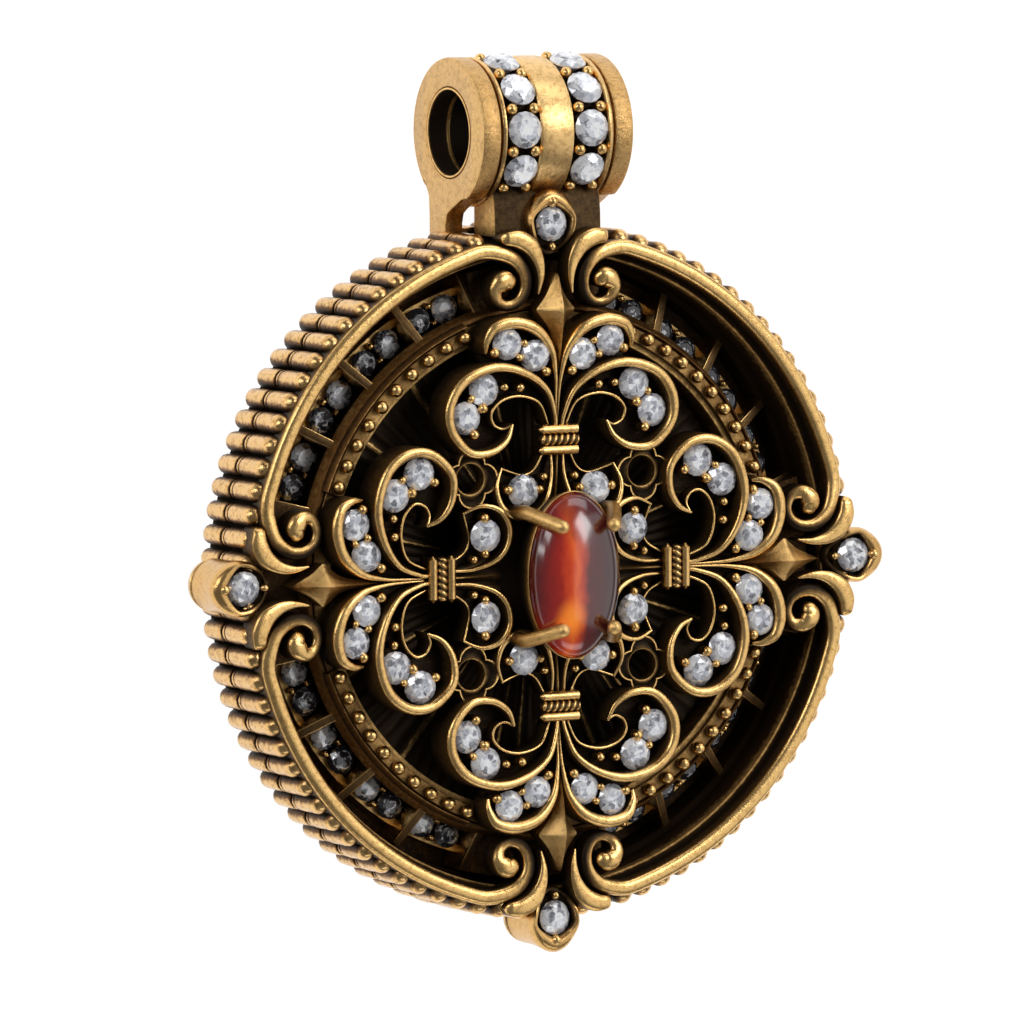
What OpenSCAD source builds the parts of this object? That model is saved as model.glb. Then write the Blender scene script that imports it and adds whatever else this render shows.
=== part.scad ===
// Round openwork medallion on a hinged bail. It lies on its back: the origin is the centre of the
// flat back face, +Z comes out of the jewelled face and +Y points to the bail.

/* [Drum] */
// Radius at the crests of the ribs round the drum
drum_r = 17.0; // [16.95:0.01:17.05]
// Number of ribs round the drum
rib_count = 90; // [72:18:90]
// Height of the seam between the two halves
seam_z = 3.85; // [3.80:0.01:3.88]
// Radius of the flat raised back face
back_r = 14.5; // [13:0.5:15]

/* [Face] */
// Height of the bezel band's top
bezel_top = 6.83; // [6.80:0.01:6.90]
// Height of the big scrolls' rims
scroll_top = 7.65; // [7.5:0.05:7.7]
// Height of the petals' rims
petal_top = 7.5; // [7.4:0.05:7.55]
// Height of the stone girdles in the fleurs
girdle_z = 7.1; // [7.05:0.01:7.15]

/* [Stones] */
// Diameter of the stones in the four tips
tip_stone_d = 1.7; // [1.6:0.05:1.7]
// Diameter of the outer stones in the petals
petal_stone_d = 1.5; // [1.4:0.05:1.5]
// Diameter of the stones in the big scrolls and on the bail
scroll_stone_d = 1.6; // [1.5:0.05:1.6]
// Half width of the oval centre stone
cabochon_x = 2.45; // [2.4:0.01:2.46]
// Half height of the oval centre stone
cabochon_y = 4.03; // [3.95:0.01:4.04]
// Height of the centre stone's dome above its girdle
cabochon_dome = 1.35; // [1.1:0.05:1.4]

/* [Bail] */
// Distance of the bail's axis from the medallion's centre
bail_y = 21.35; // [21.3:0.01:21.4]
// Outer radius of the bail's ears, which rest level with the back face
ear_r = 3.65; // [3.65]
// Half width of the bail over its two ears
bail_half_w = 4.15; // [4.1:0.01:4.2]
// Radius of the chain's way through the bail
chain_r = 2.0; // [1.9:0.02:2.0]

/* [Hidden] */
ARMS = ["north", "east", "south", "west"];
curl_stone_d = 1.6;
tip_stone_y = 16.92;
tip_girdle_z = 6.4;
curl_girdle_z = 7.08;
// The stones on the right of the arm that points along +Y: name, place, girdle height, diameter
right_stones = [
    ["petal_inner", [1.32, 10.62], girdle_z, petal_stone_d],
    ["petal_outer", [2.85, 11.23], girdle_z, petal_stone_d],
    ["scroll_outer", [4.16, 9.07], girdle_z, scroll_stone_d],
    ["scroll_inner", [5.17, 7.73], girdle_z, scroll_stone_d]
];
arm_stones = concat(
    [["tip_stone", [0, tip_stone_y], tip_girdle_z, tip_stone_d]],
    [for (s = right_stones) [str(s[0], "_stone_right"), s[1], s[2], s[3]]],
    [for (s = right_stones) [str(s[0], "_stone_left"), [-s[1].x, s[1].y], s[2], s[3]]]
);
curl_stone = [1.99, 4.08];
function stone_node(arm, stone) = str(ARMS[arm], "_", stone[0]);

$fn = 48;
e = 0.01;
gap = 0.05;
metal = "#b08d4c";
dark_metal = "#6d5730";
gem = "#e6e9ee";
orange_gem = "#c9481e";

// Drum
rib_r = 0.46;
rib_axis_r = drum_r - rib_r + 0.01;
wall_r = drum_r - 0.4;
rib_low = 1.8;
rib_high = 6.4;
back_floor = 1.0;
back_ledge_z = 2.1;
lid_seam_z = seam_z + 0.1;
lid_in_r = 15.5;
lid_ledge_r = 15.87;
lid_ledge_z = 5.75;
bezel_w = 0.62;
bezel_r = 16.18;
bezel_gap = 14.4;

// Tray inside the drum
tray_r = 15.15;
tray_in_r = 12.02;
tray_low = 2.15;
tray_floor = 3.0;
trough_floor = 2.5;
cone_top = [12.8, 5.9];
cone_mid = [13.0, 5.5];
tray_wall_r = 12.74;
window_r = 12.84;
rim_from = 20;
cone_low = [13.27, 4.95];
bar_w = 0.42;
bar_out_z = 4.2;
sill_r = 14.1;
sill_w = 0.42;
sill_top = 3.37;
block_half_angle = 15;
block_top = 5.0;
window_angles = [22.5, 37.5, 52.5, 67.5];
tray_stone_d = 1.4;
tray_stone_r = 13.6;
tray_stone_z = 3.7;
tray_stone_spread = 3.35;
granule_r = 12.39;
granule_d = 0.65;
granule_pitch = 360 / 69.5;
granules_a_quadrant = 10;
granule_seat_z = 5.55;
sun_z = 4.4;

// Openwork face
face_low = 5.95;
floor_top = 6.42;
rim_low = 5.85;
link_at = 4.75;
link_top = 7.0;
cup_r = 1.3;
cup_at = 17.15;
cup_in_r = 0.95;
cup_floor_z = 5.55;
cup_rim_z = 6.7;
curl_top = 7.35;
centre_girdle_z = 8.5;
prong_r = 0.3;

// Bail
bail_z = ear_r;
tube_r = 2.2;
knuckle_bore_r = tube_r + 0.06;
ear_in = 3.15;
knuckle_half_w = 3.05;
knuckle_r = 3.64;
bail_stone_d = 1.76;
channel_r = 2.78;
bail_band = 0.93;
bail_rim_in = 2.75;
bail_stone_x = 1.84;
bail_stone_angles = [-30.2, 3.4, 37, 70.6];
neck_half_w = 2.95;
neck_top = 5.8;

// Catmull-Rom curve through a few points, n steps from one to the next
function curve_at(a, b, c, d, t) =
    0.5 * (2 * b + (c - a) * t + (2 * a - 5 * b + 4 * c - d) * t * t + (3 * b - a - 3 * c + d) * t * t * t);
function curve(p, n = 2) = concat(
    [for (i = [0:len(p) - 2]) for (j = [0:n - 1])
        curve_at(p[max(i - 1, 0)], p[i], p[i + 1], p[min(i + 2, len(p) - 1)], j / n)],
    [p[len(p) - 1]]
);
function across(p, i) =
    let (d = p[min(i + 1, len(p) - 1)] - p[max(i - 1, 0)]) [-d.y, d.x] / norm(d);
// Width of a band that swells from its start and thins again to its end
function swell(t, w) = w[0] + (w[1] - w[0]) * min(1, 2.5 * t) + (w[2] - w[1]) * max(0, 4 * t - 3);
function flip(p) = [for (q = p) [-q.x, q.y]];
function back_to_front(p) = [for (i = [len(p) - 1:-1:0]) p[i]];

// Outlines on the arm that points along +Y, right-hand side
leaf_edge = curve([[0.85, 13.8], [0.7, 14.7], [0.8, 15.5], [1.25, 16.35], [2.1, 16.7], [2.95, 16.6],
    [3.15, 16.3], [2.3, 16.05], [1.55, 15.6], [1.1, 14.9], [0.95, 14.2]], 1);
c_scroll = curve([[4.1, 15.65], [3.1, 15.65], [2.2, 15.3], [1.65, 14.6], [1.6, 13.85], [1.95, 13.25],
    [2.55, 13.1], [3.1, 13.35], [3.2, 13.9]]);
c_ball = [2.8, 14.2];
egg_edge = curve([[0, 18.45], [0.75, 18.2], [1.25, 17.35], [1.12, 16.5], [0.72, 15.6], [0.45, 14.75]]);
petal_rim = curve([[0.12, 9.6], [0.45, 10.9], [1.3, 11.9], [2.5, 12.3], [3.6, 12.05], [4.02, 11.4],
    [4.02, 10.75]]);
scroll_rim = curve([[0.15, 7.1], [0.2, 7.7], [0.75, 8.95], [2.1, 9.85], [3.7, 10.15], [5.3, 9.65],
    [6.2, 8.5], [6.15, 7.2], [5.1, 6.05], [3.9, 5.98], [3.0, 6.55], [2.6, 7.35]]);
scroll_lip = curve([[0.5, 7.4], [1.05, 8.35], [2.1, 8.65], [3.1, 8.5], [3.7, 7.95], [3.6, 7.35],
    [3.15, 7.2], [2.75, 7.3]], 1);
curl_rim = curve([[0.3, 6.0], [0.35, 4.7], [0.75, 3.55], [1.45, 2.95], [2.4, 2.85], [3.2, 3.4],
    [3.4, 4.3], [3.0, 5.0]]);
curl_back = [[2.5, 4.98], [1.95, 4.82], [1.5, 4.88], [1.1, 5.2], [0.75, 5.85]];
boss_edge = [[0, 14.57], [1.02, 12.8], [0.32, 11.5], [0.24, 9.7]];
boss_low = 6.15;
boss_edge_z = 7.1;
boss_ridge = [[14.1, 7.45], [12.8, 7.9], [11.3, 7.65], [9.8, 7.2]];

module every_arm() {
    for (arm = [0:3]) rotate(-90 * arm) children();
}

module both_sides() {
    children();
    mirror([1, 0, 0]) children();
}

module slab(low, high) {
    translate([0, 0, low]) linear_extrude(high - low) offset(delta = 0.001) children();
}

// Flat band of varying width along a curve, its two ends round
module band(p, w) {
    last = len(p) - 1;
    left = [for (i = [0:last]) p[i] + across(p, i) * swell(i / last, w) / 2];
    right = [for (i = [last:-1:0]) p[i] - across(p, i) * swell(i / last, w) / 2];
    polygon(concat(left, right));
    translate(p[0]) circle(d = w[0], $fn = 8);
    translate(p[last]) circle(d = w[2], $fn = 8);
}

// Brilliant: a table, eight crown facets, a girdle and eight pavilion facets
module brilliant(d) {
    crown_h = 0.15 * d;
    girdle_h = 0.04 * d;
    pavilion_h = 0.36 * d;
    rotate(22.5) union() {
        translate([0, 0, girdle_h]) cylinder(d1 = d, d2 = 0.58 * d, h = crown_h, $fn = 8);
        translate([0, 0, -e]) cylinder(d = d, h = girdle_h + 2 * e, $fn = 8);
        translate([0, 0, -pavilion_h]) cylinder(d1 = 0.12 * d, d2 = d, h = pavilion_h, $fn = 8);
    }
}

// Angle from the nearest arm, and from the bail
function from_arm(angle) = abs((angle + 45) % 90 - 45);
function from_bail(angle) = min(angle, 360 - angle);

// The drum's outline: a round rib at every step, or the bare wall where clear says so
function rib_outline(clear) = [
    for (i = [0:rib_count - 1])
        let (a = (i + 0.5) * 360 / rib_count)
            for (t = clear(a) ? [0] : [-75, -38, 0, 38, 75])
                clear(a)
                    ? wall_r * [sin(a), cos(a)]
                    : rib_axis_r * [sin(a), cos(a)] + rib_r * [sin(a + t), cos(a + t)]
];

// A round bar along the bail's axis
module bail_rod(r, half_w) {
    translate([-half_w, bail_y, bail_z]) rotate([0, 90, 0]) cylinder(r = r, h = 2 * half_w, $fn = 96);
}

// Back of a tip cup: a round boss that narrows towards the back
module cup_back() {
    translate([0, cup_at, 0]) rotate_extrude()
        polygon([[0, 2.9], [0.6, 2.9], [1.0, 3.15], [cup_r - 0.1, 3.5], [cup_r, seam_z], [0, seam_z]]);
}

module ear_and_stem() {
    translate([ear_in, 0, 0]) union() {
        difference() {
            translate([0, bail_y, bail_z]) rotate([0, 90, 0])
                cylinder(r = ear_r, h = bail_half_w - ear_in, $fn = 96);
            bail_rod(tube_r + 0.02, bail_half_w);
        }
        rotate([90, 0, 90]) linear_extrude(bail_half_w - ear_in)
            polygon([[15.9, 1.6], [18.55, 1.6], [18.2, 3.4], [17.4, 3.25], [15.9, 3.25]]);
    }
}

module back_case() {
    color(metal) union() {
        rotate_extrude($fn = 180) polygon([
            [0, 0], [back_r - 0.25, 0], [back_r, 0.25], [back_r, 1.1], [15.9, 1.1], [16.4, rib_low - 0.1],
            [16.4, seam_z], [tray_r + gap, seam_z], [tray_r + gap, back_ledge_z], [13.6, back_ledge_z],
            [13.4, back_floor], [0, back_floor]
        ]);
        translate([0, 0, rib_low]) linear_extrude(seam_z - rib_low) difference() {
            polygon(rib_outline(function (a) from_arm(a) < 3));
            circle(16, $fn = 180);
        }
        for (arm = [1:3]) rotate(-90 * arm) difference() {
            cup_back();
            cylinder(r = 16.1, h = 3 * seam_z, center = true);
        }
        both_sides() ear_and_stem();
    }
}

module hinge_tube() {
    color(metal) difference() {
        bail_rod(tube_r, bail_half_w - 0.05);
        bail_rod(chain_r, bail_half_w + 1);
    }
}

// The tray: blocks behind the four arms, and four quadrants of windows with bars between
module window_ring() {
    color(dark_metal) union() {
        rotate_extrude($fn = 180) polygon([
            [tray_wall_r, tray_low], [tray_r, tray_low], [tray_r, trough_floor],
            [sill_r + sill_w / 2, trough_floor], [sill_r + sill_w / 2, sill_top],
            [sill_r - sill_w / 2, sill_top], [sill_r - sill_w / 2, tray_floor],
            [window_r, tray_floor], [window_r, cone_low.y - 0.15], cone_low, cone_mid,
            [tray_wall_r, cone_mid.y]
        ]);
        for (q = [0:3]) {
            rotate(90 * q) rotate_extrude(angle = 90 - 2 * rim_from, start = rim_from, $fn = 180) polygon([
                [cone_top.x - 0.1, cone_mid.y - 0.1], cone_mid, cone_top, [cone_top.x - 0.02, cone_top.y]
            ]);
            for (k = [1:5]) rotate(90 * q + 15 * k) translate([0, bar_w / 2, 0])
                rotate([90, 0, 0]) linear_extrude(bar_w) polygon([
                    [window_r - 0.1, 2.5], [tray_r - 0.02, 2.5], [tray_r - 0.02, bar_out_z], [13.06, 5.17]
                ]);
            rotate(90 * q) rotate_extrude(angle = 2 * block_half_angle, start = -block_half_angle)
                translate([window_r - 0.12, tray_low + 0.1])
                    square([tray_r - 0.04 - window_r + 0.12, block_top - tray_low - 0.1]);
        }
    }
}

// Round grains in the four quadrants, on a ring that the tray holds
module granule_ring() {
    out_r = tray_wall_r - gap;
    color(metal) union() {
        rotate_extrude($fn = 180) polygon([
            [tray_in_r - 0.3, back_floor + gap], [out_r, back_floor + gap], [out_r, granule_seat_z],
            [tray_in_r - 0.3, granule_seat_z]
        ]);
        for (q = [0:3]) {
            rotate(90 * q) rotate_extrude(angle = 90 - 2 * rim_from, start = rim_from, $fn = 180)
                translate([tray_in_r, granule_seat_z - 0.1]) square([out_r - 0.02 - tray_in_r, 0.35]);
            for (k = [0:granules_a_quadrant - 1])
                rotate(90 * q + 45 + (k - (granules_a_quadrant - 1) / 2) * granule_pitch)
                    translate([granule_r, 0, granule_seat_z + 0.45]) sphere(d = granule_d, $fn = 24);
        }
    }
}

module sun_plate() {
    color(metal) union() {
        translate([0, 0, sun_z - 0.5]) cylinder(r = tray_in_r - 0.35, h = 0.5, $fn = 180);
        translate([0, 0, back_floor + gap]) cylinder(r = 3, h = sun_z - back_floor - 0.2);
    }
}

module cup_outline() {
    polygon(concat(egg_edge, back_to_front(flip(egg_edge))));
}

// The bail's middle: two rows of channels between a band and two rims, on a neck that reaches the drum
module knuckle() {
    color(metal) difference() {
        union() {
            translate([0, bail_y, bail_z]) rotate([0, 90, 0]) rotate_extrude($fn = 96) polygon([
                [knuckle_bore_r, -knuckle_half_w], [knuckle_r, -knuckle_half_w], [knuckle_r, -bail_rim_in],
                [channel_r, -bail_rim_in], [channel_r, -bail_band], [knuckle_r, -bail_band],
                [knuckle_r, bail_band], [channel_r, bail_band], [channel_r, bail_rim_in],
                [knuckle_r, bail_rim_in], [knuckle_r, knuckle_half_w], [knuckle_bore_r, knuckle_half_w]
            ]);
            translate([-neck_half_w, 0, 0]) rotate([90, 0, 90]) linear_extrude(2 * neck_half_w) polygon([
                [16.2, lid_seam_z + gap], [18.95, lid_seam_z + gap], [18.95, 5.3], [18.4, neck_top],
                [16.2, neck_top]
            ]);
        }
        cylinder(r = wall_r + gap, h = 2 * neck_top, $fn = 180);
        translate([0, cup_at, seam_z]) cylinder(r = cup_r + gap, h = neck_top);
    }
}

module lid_ring() {
    difference() {
        translate([0, 0, lid_seam_z]) linear_extrude(rib_high - lid_seam_z)
            polygon(rib_outline(function (a) from_arm(a) < 3 || from_bail(a) < 11));
        translate([0, 0, lid_seam_z - 1]) cylinder(r = lid_in_r, h = 5, $fn = 180);
        translate([0, 0, lid_ledge_z]) cylinder(r = lid_ledge_r, h = 5, $fn = 180);
        every_arm() translate([0, tip_stone_y, cup_floor_z - 0.05]) cylinder(r = cup_in_r + 0.1, h = 2);
    }
}

// A tip cup: a deep round pocket under an egg-shaped rim
module cup() {
    slab(lid_seam_z + 0.02, cup_floor_z) difference() {
        translate([0, cup_at]) circle(r = cup_r, $fn = 28);
        circle(r = 16, $fn = 120);
    }
    slab(cup_floor_z - 0.1, 6.25) difference() {
        translate([0, cup_at]) circle(r = cup_r - 0.02, $fn = 28);
        translate([0, tip_stone_y]) circle(r = cup_in_r, $fn = 24);
        circle(r = 16, $fn = 120);
    }
    slab(6.15, cup_rim_z) difference() {
        cup_outline();
        offset(delta = -0.2) cup_outline();
    }
}

module bezel() {
    for (q = [0:3]) rotate(90 * q)
        rotate_extrude(angle = 90 - 2 * bezel_gap, start = bezel_gap, $fn = 180) polygon(concat(
            [[bezel_r - bezel_w / 2, 6.2], [bezel_r + bezel_w / 2, 6.2]],
            [for (a = [0:45:180])
                [bezel_r + bezel_w / 2 * cos(a), bezel_top - bezel_w / 2 * (1 - sin(a))]]
        ));
}

module front_case() {
    color(metal) union() {
        lid_ring();
        bezel();
        every_arm() {
            cup();
            both_sides() {
                slab(rim_low, bezel_top + 0.12) band(c_scroll, [0.6, 0.5, 0.55]);
                translate([c_ball.x, c_ball.y, 6.4]) sphere(r = 0.6, $fn = 32);
                slab(rim_low + 0.05, 7.0) polygon(leaf_edge);
            }
        }
    }
}

// A shield-shaped boss with a ridge along its middle
module boss() {
    edge = concat(boss_edge, back_to_front(flip(boss_edge)));
    slab(boss_low, boss_edge_z) polygon(edge);
    n = len(boss_edge);
    points = concat(
        [for (p = boss_edge) [p.x + (p.x > 0 ? -0.02 : 0), p.y - 0.02, boss_edge_z - 0.03]],
        [for (p = boss_edge) [-p.x + (p.x > 0 ? 0.02 : 0), p.y - 0.02, boss_edge_z - 0.03]],
        [for (p = boss_ridge) [0, p.x, p.y]]
    );
    hull() polyhedron(points, [[for (i = [0:len(points) - 1]) i]]);
}

module link() {
    lobe = 0.65;
    difference() {
        union() {
            circle(0.8, $fn = 16);
            for (a = [0:90:270]) rotate(a) translate([lobe, 0]) circle(0.72, $fn = 16);
        }
        for (a = [0:90:270]) rotate(a) translate([0.4, 0]) circle(0.36, $fn = 12);
        circle(0.3, $fn = 8);
    }
}

module oval(x, y) {
    scale([x, y]) circle(1, $fn = 48);
}

module prong() {
    foot = [2.42, 3.0, 6.2];
    bend = [2.5, 3.12, 8.3];
    tip = [1.42, 2.5, 10.05];
    for (s = [[foot, bend, prong_r - 0.03], [bend, tip, prong_r]]) let (v = s[1] - s[0])
        translate(s[0]) rotate([0, acos(v.z / norm(v)), atan2(v.y, v.x)])
            cylinder(r = s[2], h = norm(v), $fn = 24);
    translate(bend) sphere(r = prong_r + 0.02, $fn = 24);
    translate(tip) sphere(r = prong_r + 0.03, $fn = 24);
}

module binder() {
    for (y = [6.0, 7.0]) translate([-1.12, y, 7.15]) rotate([0, 90, 0]) cylinder(r = 0.2, h = 2.24, $fn = 24);
    translate([-1.1, 6.5, 7.1]) rotate([0, 90, 0]) cylinder(r = 0.36, h = 2.2, $fn = 24);
    translate([-1.0, 5.9, face_low + 0.05]) cube([2.0, 1.2, 1.15]);
}

module face_floors() {
    circle(3.3);
    every_arm() {
        polygon([[-0.4, 5.9], [-1.05, 3], [1.05, 3], [0.4, 5.9]]);
        translate([-1.0, 5.9]) square([2, 1.4]);
        both_sides() {
            polygon(concat(scroll_rim, back_to_front(scroll_lip)));
            polygon([[0, 6.5], [0.6, 6.5], [0.6, 7.5], [0.3, 7.7], [0, 9.2]]);
            polygon(concat(petal_rim, [[3.7, 10.2], [2.0, 9.85], [0.7, 8.9], [0, 9.0]]));
            polygon(concat(curl_rim, curl_back));
        }
    }
}

module filigree() {
    color(metal) union() {
        slab(face_low, floor_top) face_floors();
        slab(rim_low, petal_top) every_arm() both_sides() band(petal_rim, [0.18, 0.42, 0.22]);
        slab(rim_low + 0.03, scroll_top) every_arm() both_sides() band(scroll_rim, [0.3, 0.34, 0.34]);
        slab(rim_low + 0.06, curl_top) every_arm() both_sides() {
            band(scroll_lip, [0.15, 0.2, 0.2]);
            band(curl_rim, [0.3, 0.3, 0.3]);
        }
        slab(face_low - 0.05, link_top)
            for (a = [45:90:315]) rotate(a) translate([link_at * sqrt(2), 0]) rotate(-a) link();
        every_arm() {
            boss();
            binder();
            slab(lid_ledge_z + gap, 6.1) translate([-0.45, 9]) square([0.9, lid_ledge_r - gap - 9]);
            slab(floor_top - 0.2, 6.75) polygon([[-0.14, 5.7], [-0.4, 3], [0.4, 3], [0.14, 5.7]]);
        }
        difference() {
            hull() {
                translate([0, 0, face_low + 0.1]) linear_extrude(e) oval(1.9, 3.2);
                translate([0, 0, centre_girdle_z - 0.35]) linear_extrude(0.5)
                    oval(cabochon_x + 0.2, cabochon_y + 0.2);
            }
            translate([0, 0, centre_girdle_z - 0.2]) linear_extrude(2)
                oval(cabochon_x + gap, cabochon_y + gap);
        }
        both_sides() {
            prong();
            mirror([0, 1, 0]) prong();
        }
    }
}

module cabochon() {
    color(orange_gem) intersection() {
        translate([0, 0, centre_girdle_z]) scale([cabochon_x, cabochon_y, cabochon_dome]) sphere(1);
        translate([-5, -5, centre_girdle_z - 0.15]) cube([10, 10, 3]);
    }
}

module bail_stones() {
    color(gem) for (a = bail_stone_angles) for (side = [-1, 1])
        translate([side * bail_stone_x, bail_y, bail_z]) rotate([-a, 0, 0])
            translate([0, 0, knuckle_r - 0.18]) brilliant(bail_stone_d);
}

module tray_stones() {
    color(gem) for (q = [0:3]) for (a = window_angles) for (side = [-1, 1])
        rotate(90 * q + a + side * tray_stone_spread) translate([tray_stone_r, 0, tray_stone_z])
            brilliant(tray_stone_d);
}

module curl_stones() {
    color(gem) every_arm() both_sides()
        translate([curl_stone.x, curl_stone.y, curl_girdle_z]) brilliant(curl_stone_d);
}

module arm_stone(arm, stone) {
    color(gem) rotate(-90 * arm) translate([stone[1].x, stone[1].y, stone[2]]) brilliant(stone[3]);
}

back_case();
hinge_tube();
window_ring();
granule_ring();
sun_plate();
front_case();
knuckle();
filigree();
cabochon();
curl_stones();
bail_stones();
tray_stones();
for (arm = [0:3]) for (stone = arm_stones)
    arm_stone(arm, stone);
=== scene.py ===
# %% [markdown]
# A gemstone medallion pendant in Blender.
# The solids come first, as a fixed frame. Every piece here is a finer shape of one of those solids,
# made where the solid is, so it needs no fitting and swings with the same half of the medallion.
# Sizes are in millimetres, as a jeweller writes them, and are turned into metres when a mesh is made.

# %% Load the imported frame
import math

import bmesh
import bpy
import numpy as np
from mathutils import Euler, Matrix, Vector


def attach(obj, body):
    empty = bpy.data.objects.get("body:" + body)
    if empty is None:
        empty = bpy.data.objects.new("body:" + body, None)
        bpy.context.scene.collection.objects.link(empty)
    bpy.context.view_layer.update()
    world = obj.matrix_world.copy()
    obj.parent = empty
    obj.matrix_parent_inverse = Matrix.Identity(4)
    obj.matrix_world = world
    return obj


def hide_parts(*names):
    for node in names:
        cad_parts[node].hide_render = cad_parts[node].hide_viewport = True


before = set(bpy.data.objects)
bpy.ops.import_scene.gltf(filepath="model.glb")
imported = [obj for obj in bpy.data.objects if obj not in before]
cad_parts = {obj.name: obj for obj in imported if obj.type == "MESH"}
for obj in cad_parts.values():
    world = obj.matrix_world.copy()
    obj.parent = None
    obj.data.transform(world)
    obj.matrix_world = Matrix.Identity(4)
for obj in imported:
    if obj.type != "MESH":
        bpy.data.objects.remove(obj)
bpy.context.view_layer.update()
MM = 0.001

# %% [markdown]
# The camera.
# The picture was taken from the left and a little above the medallion's axis with a long lens. The
# angles and the scale were found by matching round features whose true shape is known, such as the
# bezel and the row of grains. The same few numbers say how large a millimetre is in the picture.

# %% Camera
IMAGE_SIDE, SENSOR = 1024, 36.0
YAW, PITCH, ROLL = (math.radians(degrees) for degrees in (28.75, 4.98, -0.30))
CAMERA_DISTANCE = 509.0
PIXELS_PER_MM = 20.6
MEDALLION_PIXEL = (558.6, 572.6)
FACE_PLANE_Z = 7.0

backwards = Vector((-math.sin(YAW) * math.cos(PITCH), math.sin(PITCH), math.cos(YAW) * math.cos(PITCH)))
level_right = Vector((math.cos(YAW), 0, math.sin(YAW)))
rightwards = level_right * math.cos(ROLL) + backwards.cross(level_right) * math.sin(ROLL)
upwards = backwards.cross(rightwards)
camera_place = (Vector((0, 0, FACE_PLANE_Z)) + backwards * CAMERA_DISTANCE
                + rightwards * ((IMAGE_SIDE / 2 - MEDALLION_PIXEL[0]) / PIXELS_PER_MM)
                + upwards * ((MEDALLION_PIXEL[1] - IMAGE_SIDE / 2) / PIXELS_PER_MM))

camera_data = bpy.data.cameras.new("product_camera")
camera_data.sensor_width = SENSOR
camera_data.lens = SENSOR * PIXELS_PER_MM * CAMERA_DISTANCE / IMAGE_SIDE
camera_data.clip_start = 0.01
camera = bpy.data.objects.new("product_camera", camera_data)
bpy.context.scene.collection.objects.link(camera)
camera.matrix_world = Matrix([(*ways, at * MM) for *ways, at in zip(
    rightwards, upwards, backwards, camera_place)] + [(0, 0, 0, 1)])
bpy.context.scene.camera = camera
print("camera lens:", round(camera_data.lens, 1), "mm")

# %% [markdown]
# Shapes before meshes.
# Most of the medallion is cast metal: bands, ridges and dished floors that melt into each other. Each
# small shape is worked out as points and faces and gathered in a Casting, together with one number a
# point that says how much that spot is rubbed bright. Keeping that number in the mesh lets one metal
# finish be gold on the crests and black in the hollows, the way an antiqued casting is.

# %% A casting gathers shapes
class Casting:
    """Points in millimetres, faces, and how rubbed each point is, from 0 in a hollow to 1 on a crest."""

    def __init__(self):
        self.points, self.faces, self.rubbed = [], [], []

    def add(self, points, faces, rubbed):
        start = len(self.points)
        self.points.extend(tuple(map(float, p)) for p in points)
        self.rubbed.extend(map(float, rubbed))
        self.faces.extend(tuple(start + i for i in face) for face in faces)
        return self

    def add_casting(self, other, turn=0.0, flip=False):
        """Another casting, turned about the medallion's axis and flipped left to right if asked."""
        c, s = math.cos(math.radians(turn)), math.sin(math.radians(turn))
        points = np.array(other.points, float).reshape(-1, 3)
        if flip:
            points = points * (-1, 1, 1)
        turned = np.column_stack((points[:, 0] * c - points[:, 1] * s,
                                  points[:, 0] * s + points[:, 1] * c, points[:, 2]))
        faces = [face[::-1] for face in other.faces] if flip else other.faces
        return self.add(turned, faces, other.rubbed)

    def moved(self, rule):
        """The same casting with every point put where the rule says."""
        return Casting().add([rule(*p) for p in self.points], self.faces, self.rubbed)


def grid(rings, rubbed, closed=False):
    """Rings of points joined by quads. Closed joins the last ring to the first, else both get a face.
    Rubbed is one number for each point, or one for each ring."""
    rings = np.asarray(rings, float)
    along, across = rings.shape[:2]
    faces = []
    for i in range(along if closed else along - 1):
        here, there = i * across, (i + 1) % along * across
        for j in range(across):
            k = (j + 1) % across
            faces.append((here + j, here + k, there + k, there + j))
    if not closed:
        faces.append(tuple(range(across))[::-1])
        faces.append(tuple((along - 1) * across + j for j in range(across)))
    rubbed = np.broadcast_to(np.asarray(rubbed, float).reshape(along, -1), (along, across))
    return Casting().add(rings.reshape(-1, 3), faces, rubbed.reshape(-1))


def four_arms(one, both_sides=True):
    """The same casting on the north, east, south and west arm, and on both sides of each."""
    whole = Casting()
    for arm in range(4):
        whole.add_casting(one, -90 * arm)
        if both_sides:
            whole.add_casting(one, -90 * arm, flip=True)
    return whole


SMOOTH_UNDER = math.radians(38)


def make_mesh(name, casting, smooth=True):
    """A casting as a Blender mesh in metres, seams merged, faces pointing out."""
    mesh = bpy.data.meshes.new(name)
    mesh.from_pydata([(x * MM, y * MM, z * MM) for x, y, z in casting.points], [], casting.faces)
    mesh.attributes.new("rubbed", "FLOAT", "POINT").data.foreach_set("value", casting.rubbed)
    sculpt = bmesh.new()
    sculpt.from_mesh(mesh)
    bmesh.ops.remove_doubles(sculpt, verts=sculpt.verts, dist=1e-7)
    bmesh.ops.dissolve_degenerate(sculpt, edges=sculpt.edges, dist=1e-8)
    bmesh.ops.recalc_face_normals(sculpt, faces=sculpt.faces)
    sculpt.to_mesh(mesh)
    sculpt.free()
    if smooth:
        mesh.shade_smooth()
        mesh.set_sharp_from_angle(angle=SMOOTH_UNDER)
    return mesh


def finish_piece(name, shape, body, finish, *stands_for, slot="antique_gold"):
    """Puts a shape in the scene, gives it its finish and its body, and hides the solids that it stands for.
    """
    mesh = make_mesh(name, shape) if isinstance(shape, Casting) else shape
    piece = bpy.data.objects.new(name, mesh)
    bpy.context.scene.collection.objects.link(piece)
    mesh.materials.clear()
    mesh.materials.append(finish)
    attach(piece, body)
    if stands_for:
        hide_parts(*stands_for)
    print(name, "faces:", len(mesh.polygons))
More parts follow.
